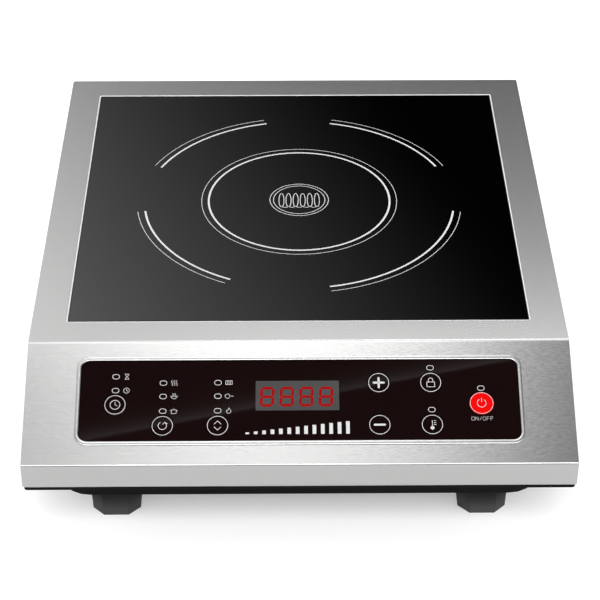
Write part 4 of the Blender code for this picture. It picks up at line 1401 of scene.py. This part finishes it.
def makeFloor():
    half = studioLook["floorHalf"]
    shape = bmesh.new()
    corners = ((-half, -half), (half, -half), (half, half), (-half, half))
    shape.faces.new([shape.verts.new((x, y, 0.0)) for x, y in corners])
    floor = linkObject("studio_floor", meshOf("studio_floor", shape))

    def recipe(paint):
        seen = paint.node("ShaderNodeLightPath", out="Is Camera Ray")
        glossy = paint.node("ShaderNodeLightPath", out="Is Glossy Ray")
        through = paint.node("ShaderNodeLightPath", out="Is Transmission Ray")
        mirrored = paint.math("MAXIMUM", glossy, through)
        glow = studioLook["floorGlow"] * seen + studioLook["floorMirror"] * mirrored
        return {
            "Base Color": studioLook["floor"],
            "Roughness": 0.8,
            "Specular IOR Level": 0.0,
            "Emission Color": glow.blend((0.0, 0.0, 0.0), (1.0, 1.0, 1.0)),
            "Emission Strength": 1.0,
        }

    floor.data.materials.append(finishFrom("studio_floor", recipe))


def makeWorld():
    look = studioLook
    world = bpy.data.worlds.new("studio")
    world.use_nodes = True
    bpy.context.scene.world = world
    sky = Wire(world.node_tree)
    x, y, z = sky.node("ShaderNodeTexCoord", out="Generated").parts()
    overhead = sky.node("ShaderNodeValToRGB", {"stops": look["overhead"]}, {"Fac": x + 0.5})
    rise = sky.math("EXPONENT", look["overheadRise"] * y.within(*look["overheadSpan"]))
    overhead = look["overheadPeak"] * overhead * rise
    screens = abs(x).step(*look["sidesFrom"]) * z.between(look["sidesFoot"], look["sidesHead"])
    level = look["round"] + (look["sides"] - look["round"]) * screens
    level = level.towards(overhead, z.step(*look["overheadFoot"]))
    key = z.between(look["keyFoot"], look["keyHead"]) * (-1.0 * y).step(*look["keyFront"])
    level = level.towards(look["key"], key)
    # a dark flag behind, which the glass mirrors, under a lit band, which the top plate mirrors
    lean = (z - look["flagLean"] * x - look["flagFoot"]).within(*look["flagSpan"])
    flag = look["flag"] * lean * lean
    band = sky.node("ShaderNodeValToRGB", {"stops": look["band"]}, {"Fac": x / look["bandWidth"] + 0.5})
    band = look["bandPeak"] * band
    back = flag.towards(band, z.step(*look["bandFoot"]))
    back = back.towards(look["backUpper"], z.step(*look["bandHead"]))
    back = back.towards(look["round"], abs(x).step(*look["backSides"]))
    level = level.towards(back, y.step(*look["backFrom"]) * z.step(*look["backFoot"]))
    # a dark slit overhead, which the panel mirrors, with one lit edge across it
    slit = y.between(look["slitFront"], look["slitBack"]) * z.step(*look["slitHeight"])
    past = y - look["glintLean"] * x + look["glintPlace"]
    dying = sky.math("EXPONENT", past.within(*look["glintSpan"]) / -look["glintFade"])
    glint = look["glint"] * dying * past.step(-look["glintEdge"], look["glintEdge"])
    level = level.towards(look["slitLevel"] + glint, slit)
    shade = sky.node("ShaderNodeCombineColor", None, {0: level, 1: level, 2: level})
    background = world.node_tree.nodes["Background"]
    plug(world.node_tree, background.inputs["Color"], shade)
    background.inputs["Strength"].default_value = 1.0


cameraLook = {
    "lens": 117.342,
    "sensor": 36.0,
    "clip": (0.01, 200.0),
    "place": (-0.00873, -1.084275, 0.81709),
    "pitch": 35.4336,
    "yaw": 0.5601,
    "roll": -0.0657,
}


def makeCamera():
    look = cameraLook
    camera = bpy.data.objects.new("camera", bpy.data.cameras.new("camera"))
    camera.data.lens = look["lens"]
    camera.data.sensor_width = look["sensor"]
    camera.data.clip_start, camera.data.clip_end = look["clip"]
    pitch, yaw, roll = [math.radians(look[key]) for key in ("pitch", "yaw", "roll")]
    flat = math.cos(pitch)
    ahead = Vector((math.sin(yaw) * flat, math.cos(yaw) * flat, -math.sin(pitch)))
    side = Vector((math.cos(yaw), -math.sin(yaw), 0.0))
    down = ahead.cross(side)
    right = side * math.cos(roll) + down * math.sin(roll)
    under = down * math.cos(roll) - side * math.sin(roll)
    camera.matrix_world = framed(right, -under, -ahead, look["place"])
    bpy.context.scene.collection.objects.link(camera)
    bpy.context.scene.camera = camera


makeFloor()
makeWorld()
makeCamera()
bpy.context.scene.view_settings.view_transform = "Standard"
print("studio set")
